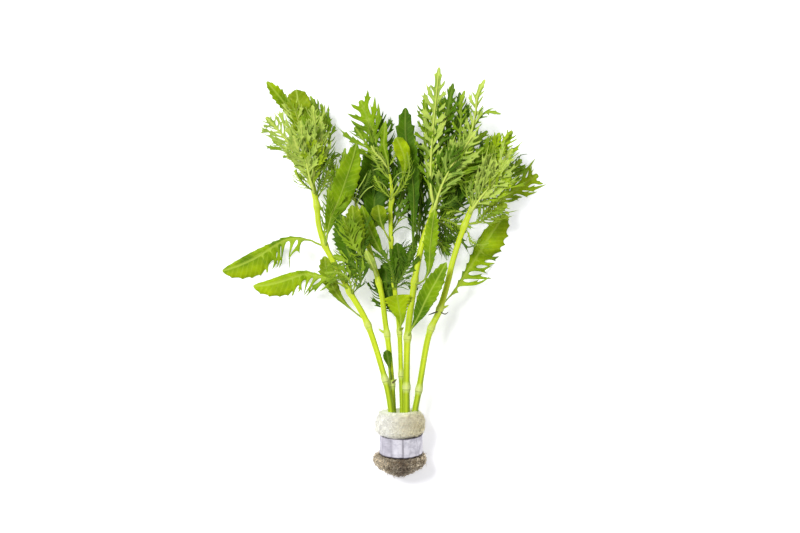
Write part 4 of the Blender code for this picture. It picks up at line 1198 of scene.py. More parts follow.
def vein_group():
    """Masks of the veins: main ones from each point's distance to them, side ones as slanted lines. Also the
    furrows between the side veins, for painted shade, and the margins far from the veins, for painted light.
    """
    group, g, entry, leave = new_group(
        "leaf_veins",
        (("Vein Width", "Float", 0.3), ("Side Veins", "Float", 0.5), ("Spacing", "Float", 2.8)),
        (("Veins", "Float"), ("Furrows", "Float"), ("Edge Light", "Float")),
    )
    away = g.math("DIVIDE", g.attribute("vein"), MM)
    inner = g.math("MULTIPLY", entry["Vein Width"], 0.5)
    outer = g.math("MULTIPLY", entry["Vein Width"], 2.2)
    main = g.ramp(away, inner, outer, 1.0, 0.0)
    place = g.add("SeparateXYZ", {0: g.add("UVMap", uv_map="blade").outputs[0]}).outputs
    outwards = g.math("ABSOLUTE", place[0])
    along = g.math("SUBTRACT", place[1], g.math("MULTIPLY", outwards, 0.8))
    turn = g.math("FRACT", g.math("DIVIDE", along, entry["Spacing"]))
    line = g.ramp(g.math("ABSOLUTE", g.math("SUBTRACT", turn, 0.5)), 0.40, 0.5)
    side = g.math("MULTIPLY", line, entry["Side Veins"])
    wander = g.noise(g.object_coords(), 300.0, 2.0)
    # Painted shade: a mask of the furrows between the side veins.
    furrow_shade = g.ramp(g.math("ABSOLUTE", g.math("SUBTRACT", turn, 0.5)), 0.02, 0.3, 1.0, 0.0)
    furrow_shade = g.math("MULTIPLY", furrow_shade, g.ramp(wander, 0.4, 0.6))
    g.tree.links.new(g.math("MULTIPLY", furrow_shade, g.ramp(away, 0.3, 2.0)), leave["Furrows"])
    g.tree.links.new(g.math("MAXIMUM", main, side), leave["Veins"])
    g.tree.links.new(g.ramp(away, 0.6, 5.0), leave["Edge Light"])
    return group


def base_material(name):
    finish = bpy.data.materials.new(name)
    finish.use_nodes = True
    shader = finish.node_tree.nodes["Principled BSDF"]
    return finish, Graph(finish.node_tree), shader


def leaf_material(name, groups, face, shade, vein, side_veins, vein_share, roughness_add):
    finish, g, shader = base_material(name)
    tissue = g.add("Group", node_tree=groups["tissue"])
    tissue.inputs["Face"].default_value = (*face, 1)
    tissue.inputs["Shade"].default_value = (*shade, 1)
    tissue.inputs["Speckle"].default_value = 0.3
    veins = g.add("Group", node_tree=groups["veins"])
    veins.inputs["Side Veins"].default_value = side_veins
    # Painted light on the margins far from the veins, growing towards the tip, where the leaf's own tip is
    # also a little yellower.
    margin_light = (face[0] * 1.6, face[1] * 1.3, face[2], 1)
    reach = g.attribute("reach")
    edge = g.math("MULTIPLY", veins.outputs["Edge Light"], g.ramp(reach, 0.4, 1.0, 0.0, 0.4))
    base = g.mix(edge, tissue.outputs["Color"], margin_light)
    # Painted shade in the furrows between the side veins, towards the Shade tone.
    base = g.mix(g.math("MULTIPLY", veins.outputs["Furrows"], side_veins * 0.5), base, (*shade, 1))
    colour = g.mix(g.math("MULTIPLY", veins.outputs["Veins"], vein_share), base, (*vein, 1))
    g.tree.links.new(colour, shader.inputs["Base Color"])
    g.tree.links.new(g.math("ADD", tissue.outputs["Roughness"], roughness_add), shader.inputs["Roughness"])
    height = g.math("SUBTRACT", tissue.outputs["Relief"], g.math("MULTIPLY", veins.outputs["Veins"], 0.5))
    bump = g.add("Bump", {"Height": height, "Strength": 0.35, "Distance": 0.0004})
    g.tree.links.new(bump.outputs[0], shader.inputs["Normal"])
    shader.inputs["Specular IOR Level"].default_value = 0.08
    shader.inputs["Subsurface Weight"].default_value = 0.1
    shader.inputs["Subsurface Radius"].default_value = (0.4, 0.8, 0.1)
    shader.inputs["Subsurface Scale"].default_value = 0.001
    return finish


def stem_material(groups, colour, shade, node_colour):
    finish, g, shader = base_material("stem_skin")
    between = [(a + b) / 2 for a, b in zip(colour, shade)]
    tissue = g.add("Group", {"Patch Scale": 45.0, "Face": (*colour, 1), "Shade": (*between, 1)},
                   node_tree=groups["tissue"])
    away = g.math("DIVIDE", g.attribute("node"), MM)
    low = g.math("DIVIDE", g.attribute("along"), MM)
    ridge = g.attribute("ridge")
    body = g.mix(g.ramp(low, 42.0, 58.0, 0.8, 0.0), tissue.outputs["Color"], (*shade, 1))
    # Painted highlight: the raised ridges turn towards a lighter skin colour.
    body = g.mix(g.ramp(ridge, 0.2, 0.95, 0.0, 0.4), body, tuple(min(c * 1.5, 1.0) for c in colour) + (1,))
    shown = g.ramp(low, 50.0, 95.0, 0.85, 0.1)
    pale = g.math("MULTIPLY", g.ramp(g.math("ABSOLUTE", away), 0.6, 3.2, 0.75, 0.0), shown)
    body = g.mix(pale, body, (*node_colour, 1))
    from_scar = g.math("ABSOLUTE", g.math("ADD", away, 1.15))
    scar = g.math("MULTIPLY", g.ramp(from_scar, 0.1, 0.4, 0.45, 0.0), shown)
    body = g.mix(scar, body, (0.07, 0.1, 0.015, 1))
    g.tree.links.new(body, shader.inputs["Base Color"])
    g.tree.links.new(g.math("SUBTRACT", tissue.outputs["Roughness"], 0.06), shader.inputs["Roughness"])
    height = g.math("SUBTRACT", tissue.outputs["Relief"], scar)
    bump = g.add("Bump", {"Height": height, "Strength": 0.3, "Distance": 0.0003})
    g.tree.links.new(bump.outputs[0], shader.inputs["Normal"])
    shader.inputs["Specular IOR Level"].default_value = 0.25
    shader.inputs["Subsurface Weight"].default_value = 0.15
    shader.inputs["Subsurface Radius"].default_value = (0.6, 1.0, 0.15)
    shader.inputs["Subsurface Scale"].default_value = 0.001
    return finish


def wool_material(settings):
    """Cream above the strip and beige on its right, lifted with painted light; brown and mottled below,
    darkest in the middle.
    """
    finish, g, shader = base_material("wool_fibre")
    coords = g.object_coords()
    place = g.add("SeparateXYZ", {0: coords}).outputs
    strip = PLANT_PLACE.y + STRIP_MIDDLE
    upper_share = g.ramp(place[1], strip - MM, strip + MM)
    patch = g.noise(coords, 320.0, 3.0, 0.6)
    fleck = g.noise(coords, 1300.0, 2.0)
    shade = g.attribute("shade")
    right = g.ramp(place[0], PLANT_PLACE.x - 6 * MM, PLANT_PLACE.x + 11 * MM)
    upper = g.mix(right, (*settings.cream, 1), (*settings.beige, 1))
    streaked = g.math("MULTIPLY", g.ramp(patch, 0.48, 0.64, 0.1, 0.4), right)
    upper = g.mix(streaked, upper, (0.62, 0.52, 0.24, 1))
    rim = g.ramp(place[1], PLANT_PLACE.y + 29.5 * MM, PLANT_PLACE.y + 32.5 * MM)
    upper = g.mix(g.math("MULTIPLY", rim, 0.35), upper, (0.33, 0.42, 0.13, 1))
    lower = g.mix(g.ramp(patch, 0.42, 0.6), (*settings.brown, 1), (0.72, 0.62, 0.45, 1))
    middle = g.math("ABSOLUTE", g.math("SUBTRACT", place[0], PLANT_PLACE.x + 1 * MM))
    lower = g.mix(g.ramp(middle, 0.5 * MM, 8 * MM, 0.75, 0.0), lower, (0.1, 0.065, 0.04, 1))
    lower = g.mix(g.ramp(fleck, 0.5, 0.66, 0.0, 0.6), lower, (0.09, 0.06, 0.035, 1))
    colour = g.mix(upper_share, lower, upper)
    # Each fibre's lightness comes from its shade value. Below the strip it is widely spread, for the wool's
    # mottling. Above the strip it stays over 1: painted light that lifts the wool over its own cream against
    # the shade between its fibres.
    darkest = g.ramp(upper_share, 0.0, 1.0, 0.4, 1.04)
    lightest = g.ramp(upper_share, 0.0, 1.0, 1.95, 1.26)
    light = g.ramp(shade, 0.0, 1.0, darkest, lightest)
    colour = g.mix(1.0, colour, g.add("CombineColor", {0: light, 1: light, 2: light}).outputs[0], "MULTIPLY")
    g.tree.links.new(colour, shader.inputs["Base Color"])
    shader.inputs["Roughness"].default_value = 0.95
    shader.inputs["Specular IOR Level"].default_value = 0.2
    shader.inputs["Subsurface Weight"].default_value = 0.2
    shader.inputs["Subsurface Radius"].default_value = (1.0, 0.9, 0.7)
    shader.inputs["Subsurface Scale"].default_value = 0.002
    bump = g.add("Bump", {"Height": g.math("ADD", patch, fleck), "Strength": 0.8, "Distance": 0.0006})
    g.tree.links.new(bump.outputs[0], shader.inputs["Normal"])
    return finish


def strip_material(settings):
    """Soft lead: dull, blotched, with fine scratches along it and dark edges, and painted shade on its left
    side and in its creases.
    """
    finish, g, shader = base_material("strip_metal")
    coords = g.object_coords()
    blotch = g.noise(coords, 330.0, 4.0, 0.6)
    fine = g.noise(coords, 1700.0, 3.0)
    stretched = g.add("Mapping", {0: coords, 3: (0.25, 3.0, 0.25)}).outputs[0]
    scratch = g.noise(stretched, 900.0, 2.0)
    edge = g.math("DIVIDE", g.attribute("edge"), MM)
    dent = g.attribute("dent")
    colour = g.mix(g.ramp(blotch, 0.42, 0.66, 0.0, 0.75), (*settings.metal, 1), (0.36, 0.35, 0.41, 1))
    across = g.add("SeparateXYZ", {0: coords}).outputs[0]
    # Painted shade: the left side of the strip darkened.
    left = g.ramp(across, PLANT_PLACE.x - 6 * MM, PLANT_PLACE.x - 2 * MM, 0.6, 0.0)
    colour = g.mix(left, colour, (0.38, 0.36, 0.43, 1))
    colour = g.mix(g.ramp(scratch, 0.55, 0.75, 0.0, 0.35), colour, (0.85, 0.83, 0.9, 1))
    # Painted shade in the creases.
    colour = g.mix(g.ramp(dent, 0.02, 0.9, 0.0, 0.65), colour, (0.12, 0.11, 0.15, 1))
    rim = g.ramp(g.math("ADD", edge, g.math("MULTIPLY", fine, 0.3)), 0.35, 0.75, 0.9, 0.0)
    colour = g.mix(rim, colour, (0.05, 0.04, 0.055, 1))
    g.tree.links.new(colour, shader.inputs["Base Color"])
    shader.inputs["Metallic"].default_value = 0.3
    g.tree.links.new(g.ramp(blotch, 0.3, 0.7, 0.38, 0.6), shader.inputs["Roughness"])
    bump = g.add("Bump", {"Height": g.math("ADD", scratch, blotch), "Strength": 0.35, "Distance": 0.0003})
    g.tree.links.new(bump.outputs[0], shader.inputs["Normal"])
    return finish


def dry_material():
    finish, g, shader = base_material("dried_tissue")
    coords = g.object_coords()
    patch = g.noise(coords, 500.0, 3.0)
    g.tree.links.new(g.mix(g.ramp(patch, 0.4, 0.6), (0.035, 0.05, 0.012, 1), (0.14, 0.12, 0.04, 1)),
                     shader.inputs["Base Color"])
    shader.inputs["Roughness"].default_value = 0.75
    return finish


# Stems, shoots and small dead bits

def stem_mesh(letter, route):
    """A stem with faint lengthwise ridges, swollen nodes and a blunt end inside the plug."""
    radius, _, rows = STEMS[letter]
    nodes = [route.at_row(row) for row in rows]
    count = int(route.length / STEM_STEP)
    distances = [route.length * i / count for i in range(count + 1)]
    centres = [route.at(d)[0] for d in distances]
    radii = [stem_radius(radius * MM, nodes, d)
             * (1.0 - STEM_TAPER * smooth((d / route.length - TAPER_FROM) / TAPER_OVER)) for d in distances]
    bm = bmesh.new()
    layers = {key: bm.verts.layers.float.new(key) for key in ("node", "along", "ridge")}

    def ridged(turn, number):
        out = 1.0
        for count, high, on in STEM_RIDGES:
            out += high * math.cos(count * turn + on * number)
        return out

    rings = tube(bm, centres, radii, STEM_SIDES, ridged)
    for distance, ring, centre, wide in zip(distances, rings, centres, radii):
        nearest = min(nodes, key=lambda node: abs(distance - node))
        for v in ring:
            v[layers["node"]] = distance - nearest
            v[layers["along"]] = v.co.y
            v[layers["ridge"]] = ((v.co - centre).length / wide - 0.95) / 0.1
    collars(bm, layers, route, nodes, radius * MM)
    for row, side, length in SPURS.get(letter, ()):
        bud(bm, layers, route, route.at_row(row), side, length * MM)
    face_outwards(bm)
    return mesh_of(bm, "stem_" + letter)


def collars(bm, layers, route, nodes, radius):
    """The low ring that joins the two leaf bases at each node."""
    for node in nodes:
        if not COLLAR_FROM < node < route.length * COLLAR_UP_TO:
            continue
        centre, way = route.at(node + COLLAR_AHEAD)
        points = [centre + way * (step * COLLAR_STEP) for step, _ in COLLAR_RINGS]
        wide = [radius * NODE_SWELL * share for _, share in COLLAR_RINGS]
        for ring in tube(bm, points, wide, STEM_SIDES):
            for v in ring:
                v[layers["node"]] = COLLAR_NODE
                v[layers["along"]] = v.co.y
                v[layers["ridge"]] = 0.5


def bud(bm, layers, route, distance, side, length):
    """A short dead spur or bud in the angle of a node."""
    centre, way = route.at(distance + BUD_AHEAD)
    out = way.cross(Vector((0, 0, 1))).normalized() * side
    points = [centre + (out * BUD_OUT + way * BUD_ON * t) * (t * length) for t, _ in BUD_RINGS]
    for ring in tube(bm, points, [radius for _, radius in BUD_RINGS], BUD_SIDES):
        for v in ring:
            v[layers["node"]] = BUD_NODE
            v[layers["along"]] = v.co.y


def young_leaf(row, stems):
    """A small comb leaf of a tuft."""
    name, side, pixels, width, tone, roll, tip, off = row
    leaf = Leaf((name, side, pixels, width, "comb", tone, roll, tip, 0), stems)
    leaf.lift = off * MM
    leaf.rib = YOUNG_RIB
    return leaf


def companion_leaf(number, row, stems):
    """A leaf turned and scaled from the one that it grows beside."""
    name, form, tone, turn, size, off = row
    leaf = Leaf(next(line for line in LEAVES if line[0] == name), stems)
    leaf.lift = read_lift(leaf) + leaf.side * off * MM
    leaf.name = f"{name}_beside_{number}"
    leaf.form_name, leaf.form, leaf.tone = form, FORMS[form], tone
    spin = Matrix.Rotation(math.radians(turn), 3, "Z") * size
    start = leaf.route.points[0]
    leaf.route = Route([start + spin @ (point - start) for point in leaf.route.points[::Route.STEPS]])
    leaf.length = leaf.route.length
    leaf.width *= size
    leaf.rib = BESIDE_RIB
    return leaf


def strand_mesh(rows):
    """Thin curved bits: each a route of pixels and heights with a width in mm, thickest in its middle."""
    bm = bmesh.new()
    layer = bm.verts.layers.float.new("vein")
    for width, points in rows:
        route = Route(on_plant(points))
        count = max(int(route.length / (0.7 * MM)), 4)
        shares = [i / count for i in range(count + 1)]
        centres = [route.at(route.length * share)[0] for share in shares]
        radii = [width * MM / 2 * (0.3 + 0.7 * math.sin(math.pi * min(share * 0.8 + 0.15, 1.0)))
                 for share in shares]
        for ring in tube(bm, centres, radii, THIN_SIDES):
            for v in ring:
                v[layer] = 0.5 * MM
    face_outwards(bm)
    return mesh_of(bm, "strands")


# Wool plug and strip

def lumpy(along, turn):
    """Soft lumps of the wool, as a share of its radius."""
    point = Vector((math.cos(turn) * 1.6, along / (7 * MM), math.sin(turn) * 1.6))
    return sum(high * noise.noise(point * close) for high, close in WOOL_LUMPS)


def profile_radius(along):
    """Radius of the plug at a distance from its tip."""
    for (a, low), (b, high) in zip(PLUG_PROFILE, PLUG_PROFILE[1:]):
        if a * MM <= along <= b * MM:
            return (low + (high - low) * smooth((along / MM - a) / (b - a))) * MM
    return PLUG_PROFILE[-1][1] * MM


def wool_mesh():
    """The plug's body, pulled in under the strip, flat underneath and hollow where the stems go in."""
    length = PLUG_PROFILE[-1][0] * MM
    places = [length * i / WOOL_STEPS for i in range(WOOL_STEPS + 1)]
    stations = [(place, profile_radius(place)) for place in places]
    rim = stations[-1][1]
    stations += [(length + past, rim * share) for past, share in WOOL_MOUTH]
    bm = bmesh.new()
    centres = [Vector((0.0, i * MM, 0.0)) for i in range(len(stations))]
    rings = tube(bm, centres, [1.0] * len(stations), WOOL_SIDES)
    for ring, (along, radius) in zip(rings, stations):
        for v in ring:
            turn = math.atan2(v.co.z, v.co.x)
            held = 1.0 - smooth((HELD_REACH - abs(along - STRIP_SHOWN)) / HELD_FADE)
            v.co = plug_point(along, radius * (WOOL_SHARE + (lumpy(along, turn) - LUMP_MEAN) * held), turn)
            v.co.z = max(v.co.z, WOOL_LEAST_HEIGHT)
    face_outwards(bm)
    return mesh_of(bm, "wool")


def fibre_template(length, width):
    """A bent fibre, lying along +X with its bow towards +Z."""
    bm = bmesh.new()
    points = [Vector((length * t, 0.0, FIBRE_BOW * length * math.sin(math.pi * t))) for t in FIBRE_POINTS]
    tube(bm, points, [width / 2, width / 2, width / 2, width / 8], FIBRE_SIDES)
    face_outwards(bm)
    return mesh_of(bm, "fibre")


def fibre_places(count, length, low, high, stand, chance):
    """Places over the plug between two distances from its tip: lying every way, some standing off."""
    places, shades = [], []
    to_plug = plug_frame().inverted()
    while len(places) < count:
        along = chance.uniform(low, high)
        turn = chance.uniform(0.0, 2 * math.pi)
        radius = profile_radius(along)
        if chance.random() > radius / FIBRE_SPREAD:
            continue
        root = plug_point(along, radius * (FIBRE_ROOT + lumpy(along, turn)), turn)
        if root.z < ROOT_LEAST_HEIGHT:
            continue
        near = plug_point(along + NEXT_POINT, profile_radius(along + NEXT_POINT), turn)
        flat = plug_point(along, profile_radius(along), turn)
        on = (near - flat).normalized()
        out = (flat - plug_frame() @ Vector((0.0, along, 0.0))).normalized()
        out = (out - on * out.dot(on)).normalized()
        side = out.cross(on)
        heading = chance.uniform(0.0, 2 * math.pi)
        lift = chance.uniform(FIBRE_INWARDS, stand)
        x = (on * math.cos(heading) + side * math.sin(heading)) * math.cos(lift) + out * math.sin(lift)
        y = out.cross(x).normalized()
        z = x.cross(y)
        size = chance.uniform(*FIBRE_SIZE)
        turned = Matrix((x * size, y * size * chance.uniform(*FIBRE_BEND), z * size)).transposed().to_4x4()
        turned.translation = root
        tip = turned @ Vector((length, 0.0, 0.0))
        from_strip = abs((to_plug @ tip).y - slant(along, turn) - STRIP_SHOWN)
        if tip.z < TIP_LEAST_HEIGHT or from_strip < STRIP_WIDTH / 2 + STRIP_MARGIN:
            continue
        places.append(turned)
        shades.append(chance.random())
    return places, shades


def crease(turn, share):
    """How deep the strip is creased at an angle round it, 0 to 1. share runs across it from -1 to 1."""
    deep = 0.0
    for place, wide, lean, strength in STRIP_CREASES:
        off = abs(turn - math.radians(place + lean * share)) / math.radians(wide)
        deep += strength * max(1.0 - off, 0.0) ** 2
    return deep


def strip_mesh():
    """The strip as a bent sheet: its outer end laps over the inner one, with creases and crumpled edges."""
    bm = bmesh.new()
    around, across = STRIP_GRID
    layers = {key: bm.verts.layers.float.new(key) for key in ("edge", "dent")}
    bmesh.ops.create_grid(bm, x_segments=around, y_segments=across, size=0.5)
    full = 2 * math.pi + STRIP_LAP
    half = STRIP_WIDTH / 2
    frame_turn = plug_frame()
    for v in bm.verts:
        go, share = v.co.x + 0.5, 2 * v.co.y
        turn = STRIP_END_ANGLE - STRIP_LAP + full * go
        rise = (STRIP_THICKNESS + GAP) * smooth((full * go - 2 * math.pi + 2 * STRIP_LAP) / STRIP_LAP)
        deep = crease(turn % (2 * math.pi), share)
        point = Vector((math.cos(turn) * 2.2, share * 1.3, math.sin(turn) * 2.2))
        wrinkle = sum(high * noise.noise(point * close) for high, close in WRINKLES)
        ragged = 0.3 * noise.noise(Vector((turn * 5.0, share * 2.0, 3.0)))
        ragged += 0.12 * noise.noise(Vector((turn * 17.0, share, 7.0)))
        wide = (WAIST_RADIUS * MM + GAP + rise) * ring_wave(turn) + STRIP_THICKNESS / 2
        wide += (wrinkle * abs(share) ** 2 + 0.06 * wrinkle) * MM - CREASE_DEPTH * min(deep, 1.0)
        flare = FLARE * smooth((abs(share) - FLARE_FROM) / (1.0 - FLARE_FROM))
        along = STRIP_SHOWN + slant(STRIP_MIDDLE, turn) + share * half * SHOWN_WIDTH
        along += ragged * MM * abs(share) ** 3 * RAGGED_EDGE
        v.co = frame_turn @ Vector((math.cos(turn) * (wide + flare), along, math.sin(turn) * (wide + flare)))
        end = 2.5 * full * wide * min(go, 1.0 - go)
        v[layers["edge"]] = min((1.0 - abs(share)) * half, end)
        # How deep the crease is here, kept for the painted shade of the finish.
        v[layers["dent"]] = deep
    bmesh.ops.recalc_face_normals(bm, faces=bm.faces)
    bmesh.ops.solidify(bm, geom=bm.faces[:], thickness=STRIP_THICKNESS * SHEET_SHARE)
    face_outwards(bm)
    return mesh_of(bm, "strip")


# What a user would change

class WisteriaLeafSettings(bpy.types.PropertyGroup):
    thickness: FloatProperty(name="Blade thickness", description="Thickness of a leaf blade",
                             default=0.28 * MM, unit="LENGTH")
    ripple: FloatProperty(name="Ripple", description="How far the margins wave out of the blade",
                          default=1.1 * MM, unit="LENGTH")
    bright: FloatVectorProperty(name="Bright", description="Fresh yellow-green leaves", subtype="COLOR",
                                default=(0.33, 0.47, 0.003))
    green: FloatVectorProperty(name="Green", description="Mid green leaves", subtype="COLOR",
                               default=(0.22, 0.36, 0.003))
    # Leaves inside the bunch: partly their own darker green, partly painted shade of the bunch.
    deep: FloatVectorProperty(name="Deep", description="Dark leaves inside the bunch", subtype="COLOR",
                              default=(0.072, 0.165, 0.0015))
    olive: FloatVectorProperty(name="Olive", description="Olive leaves", subtype="COLOR",
                               default=(0.23, 0.33, 0.006))
    pale: FloatVectorProperty(name="Pale", description="Undersides of the leaves", subtype="COLOR",
                              default=(0.46, 0.59, 0.10))
    vein: FloatVectorProperty(name="Veins", description="Midribs and veins", subtype="COLOR",
                              default=(0.56, 0.66, 0.13))


class WisteriaStemSettings(bpy.types.PropertyGroup):
    skin: FloatVectorProperty(name="Skin", description="Yellow-green stem skin", subtype="COLOR",
                              default=(0.535, 0.64, 0.018))
    lower: FloatVectorProperty(name="Lower skin", description="Greener skin near the plug", subtype="COLOR",
                               default=(0.205, 0.31, 0.004))
    node: FloatVectorProperty(name="Nodes", description="Pale swollen nodes", subtype="COLOR",
                              default=(0.70, 0.78, 0.30))


class WisteriaPlugSettings(bpy.types.PropertyGroup):
    fibres: IntProperty(name="Fibres", description="Loose fibres on each part of the wool",
                        default=6500, min=0)
    fibre_length: FloatProperty(name="Fibre length", description="Length of a loose fibre", default=2.4 * MM,
                                unit="LENGTH")
    cream: FloatVectorProperty(name="Cream", description="Clean wool above the strip", subtype="COLOR",
                               default=(0.98, 0.97, 0.89))
    beige: FloatVectorProperty(name="Beige", description="Stained wool above the strip", subtype="COLOR",
                               default=(0.86, 0.80, 0.56))
    brown: FloatVectorProperty(name="Brown", description="Wool below the strip", subtype="COLOR",
                               default=(0.33, 0.26, 0.165))
    metal: FloatVectorProperty(name="Strip", description="Lead strip", subtype="COLOR",
                               default=(0.70, 0.68, 0.74))


class WisteriaStageSettings(bpy.types.PropertyGroup):
    floor: FloatVectorProperty(name="Floor", description="Colour of the floor", subtype="COLOR",
                               default=(0.85, 0.85, 0.87))
    glow: FloatProperty(name="Floor glow", description="Light of its own that keeps the floor white",
                        default=0.46)
    camera_height: FloatProperty(name="Camera height", description="Height of the camera over the floor",
                                 default=2.5, unit="LENGTH")


def leaf_settings():
    return bpy.context.scene.wisteria_leaf


class WISTERIA_OT_stems(bpy.types.Operator):
    """Grow the five stems"""
    bl_idname = "wisteria.stems"
    bl_label = "Stems"

    def execute(self, context):
        settings = context.scene.wisteria_stem
        finish = stem_material(surface_groups(), settings.skin, settings.lower, settings.node)
        for letter, route in stem_routes().items():
            mesh = stem_mesh(letter, route)
            finish_piece(f"stem_{letter}_grown", mesh, [finish], ["stem_" + letter])
        return {"FINISHED"}


class WISTERIA_OT_leaves(bpy.types.Operator):
    """Grow every leaf along its own route"""
    bl_idname = "wisteria.leaves"
    bl_label = "Leaves"

    def execute(self, context):
        stems = stem_routes()
        finishes = leaf_finishes()
        for row in LEAVES:
            leaf = Leaf(row, stems)
            leaf.lift = read_lift(leaf)
            if leaf.tone == "pale":
                leaf.rib = PALE_RIB
            mesh = leaf_mesh(leaf, stems[leaf.name[5]])
            finish_piece(leaf.name + "_grown", mesh, finishes[leaf.tone], [leaf.name])
        return {"FINISHED"}


class WISTERIA_OT_shoots(bpy.types.Operator):
    """Grow the small young leaves and those beside a larger one, joined by stem and tone"""
    bl_idname = "wisteria.shoots"
    bl_label = "Shoots"

    def execute(self, context):
        stems = stem_routes()
        finishes = leaf_finishes()
        leaves = [young_leaf(row, stems) for row in SHOOTS]
        leaves += [companion_leaf(number, row, stems) for number, row in enumerate(COMPANIONS)]
        for letter in STEMS:
            for tone in TONES:
                group = [leaf for leaf in leaves if leaf.name[5] == letter and leaf.tone == tone]
                if not group:
                    continue
                whole = bmesh.new()
                for leaf in group:
                    part = leaf_mesh(leaf, stems[letter])
                    whole.from_mesh(part)
                    bpy.data.meshes.remove(part)
                mesh = mesh_of(whole, "shoot")
                finish_piece(f"shoot_{letter}_{tone}", mesh, finishes[tone])
        return {"FINISHED"}


class WISTERIA_OT_strands(bpy.types.Operator):
    """Lay the thin stalks and the dried bits between the stems"""
    bl_idname = "wisteria.strands"
    bl_label = "Strands"

    def execute(self, context):
        finishes = leaf_finishes()
        finish_piece("strands_pale", strand_mesh(PALE_STRANDS), [finishes["pale"][0]])
        finish_piece("strands_deep", strand_mesh(DEEP_STRANDS), [finishes["deep"][0]])
        finish_piece("strands_dried", strand_mesh(DRIED_STRANDS), [dry_material()])
        return {"FINISHED"}


class WISTERIA_OT_plug(bpy.types.Operator):
    """Form the wool plug, its loose fibres and the metal strip"""
    bl_idname = "wisteria.plug"
    bl_label = "Wool and strip"

    def execute(self, context):
        settings = context.scene.wisteria_plug
        wool = wool_material(settings)
        finish_piece("wool_body", wool_mesh(), [wool], ["wool_wrap"])
        length = settings.fibre_length
        for name, low, high, stand, width in FIBRE_PARTS:
            places, shades = fibre_places(settings.fibres, length, low, high, stand, random.Random(name))
            fibres = many(fibre_template(length, width), places, shades)
            finish_piece(f"wool_fibres_{name}", fibres, [wool])
        finish_piece("strip_bent", strip_mesh(), [strip_material(settings)], ["lead_strip"])
        return {"FINISHED"}


class WISTERIA_OT_stage(bpy.types.Operator):
    """Set the white floor, the soft light and the camera that looks straight down"""
    bl_idname = "wisteria.stage"
    bl_label = "Stage"

    def execute(self, context):
        settings = context.scene.wisteria_stage
        bm = bmesh.new()
        bmesh.ops.create_grid(bm, x_segments=1, y_segments=1, size=6.0)
        mesh = mesh_of(bm, "floor")
        finish, g, shader = base_material("floor_paper")
        shader.inputs["Base Color"].default_value = (*settings.floor, 1)
        shader.inputs["Roughness"].default_value = 0.9
        shader.inputs["Specular IOR Level"].default_value = 0.1
        shader.inputs["Emission Color"].default_value = (*settings.floor, 1)
        shader.inputs["Emission Strength"].default_value = settings.glow
        mesh.materials.append(finish)
        floor = bpy.data.objects.new("floor", mesh)
        context.scene.collection.objects.link(floor)
        self.light(context)
        self.camera(context, settings)
        return {"FINISHED"}

    def light(self, context):
        world = bpy.data.worlds.new("studio")
        world.use_nodes = True
        world.node_tree.nodes["Background"].inputs["Color"].default_value = (0.97, 0.97, 1.0, 1)
        world.node_tree.nodes["Background"].inputs["Strength"].default_value = 0.5
        context.scene.world = world
        for name, strength, size, turn in SUNS:
            lamp = bpy.data.lights.new(name, "SUN")
            lamp.energy = strength
            lamp.angle = math.radians(size)
            sun = bpy.data.objects.new(name, lamp)
            sun.rotation_euler = [math.radians(t) for t in turn]
            context.scene.collection.objects.link(sun)

    def camera(self, context, settings):
        lens = bpy.data.cameras.new("camera")
        lens.sensor_width = 36.0
        width = PHOTO_WIDTH * PIXEL
        lens.lens = lens.sensor_width * (settings.camera_height - PLUG_AXIS_HEIGHT) / width
        lens.clip_end = 100.0
        camera = bpy.data.objects.new("camera", lens)
        camera.location = PLANT_PLACE + plan(*PHOTO_MIDDLE)
        camera.location.z = settings.camera_height
        context.scene.collection.objects.link(camera)
        context.scene.camera = camera
        context.scene.view_settings.view_transform = "Standard"


class WISTERIA_PT_panel(bpy.types.Panel):
    """The steps that build the bunch"""
    bl_label = "Wisteria bunch"
    bl_idname = "WISTERIA_PT_panel"
    bl_space_type = "VIEW_3D"
    bl_region_type = "UI"
    bl_category = "Wisteria"

    def draw(self, context):
        for operator in OPERATORS:
            self.layout.operator(operator.bl_idname)
        for name, group in SETTINGS.items():
            box = self.layout.box()
            for key in group.__annotations__:
                box.prop(getattr(context.scene, name), key)


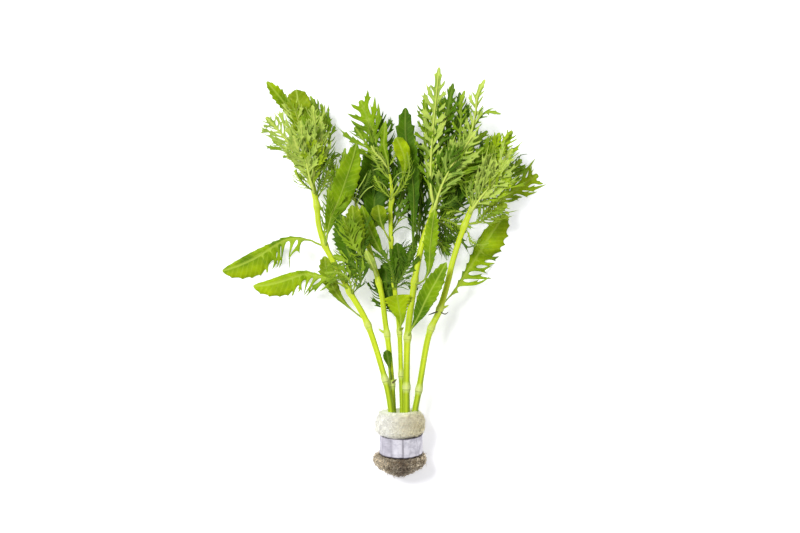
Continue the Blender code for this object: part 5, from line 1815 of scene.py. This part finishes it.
OPERATORS = (WISTERIA_OT_stems, WISTERIA_OT_leaves, WISTERIA_OT_shoots, WISTERIA_OT_strands, WISTERIA_OT_plug,
             WISTERIA_OT_stage)
SETTINGS = {
    "wisteria_leaf": WisteriaLeafSettings,
    "wisteria_stem": WisteriaStemSettings,
    "wisteria_plug": WisteriaPlugSettings,
    "wisteria_stage": WisteriaStageSettings,
}


def surface_groups():
    """The shared node groups, built once."""
    if "plant_tissue" not in bpy.data.node_groups:
        tissue_group()
        vein_group()
    return {"tissue": bpy.data.node_groups["plant_tissue"], "veins": bpy.data.node_groups["leaf_veins"]}


def leaf_finishes():
    """For each tone, the finish of the face that looks up and that of the other face."""
    if "leaf_bright_face" not in bpy.data.materials:
        settings, groups = leaf_settings(), surface_groups()
        for tone in TONES:
            face = tuple(getattr(settings, tone))
            shade = tuple(c * k for c, k in zip(face, (0.32, 0.45, 0.3)))
            vein = [b if tone == "pale" else (a + b) / 2 for a, b in zip(face, settings.vein)]
            matte = 0.12 if tone == "pale" else 0.0
            share = {"deep": 0.3, "pale": 0.95}.get(tone, 0.6)
            side_veins = 0.0 if tone == "pale" else 0.5
            leaf_material(f"leaf_{tone}_face", groups, face, shade, vein, side_veins, share, matte)
    made = bpy.data.materials
    back = {tone: made["leaf_green_face" if tone == "pale" else "leaf_pale_face"] for tone in TONES}
    return {tone: [made[f"leaf_{tone}_face"], back[tone]] for tone in TONES}


def register():
    for group in SETTINGS.values():
        bpy.utils.register_class(group)
    for name, group in SETTINGS.items():
        setattr(bpy.types.Scene, name, PointerProperty(type=group))
    for made in (*OPERATORS, WISTERIA_PT_panel):
        bpy.utils.register_class(made)


def unregister():
    for made in reversed((*OPERATORS, WISTERIA_PT_panel)):
        bpy.utils.unregister_class(made)
    for name in SETTINGS:
        delattr(bpy.types.Scene, name)
    for group in reversed(list(SETTINGS.values())):
        bpy.utils.unregister_class(group)


def main():
    register()
    bpy.ops.wisteria.stems()
    bpy.ops.wisteria.leaves()
    bpy.ops.wisteria.shoots()
    bpy.ops.wisteria.strands()
    bpy.ops.wisteria.plug()
    bpy.ops.wisteria.stage()
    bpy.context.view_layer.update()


if __name__ == "__main__":
    main()
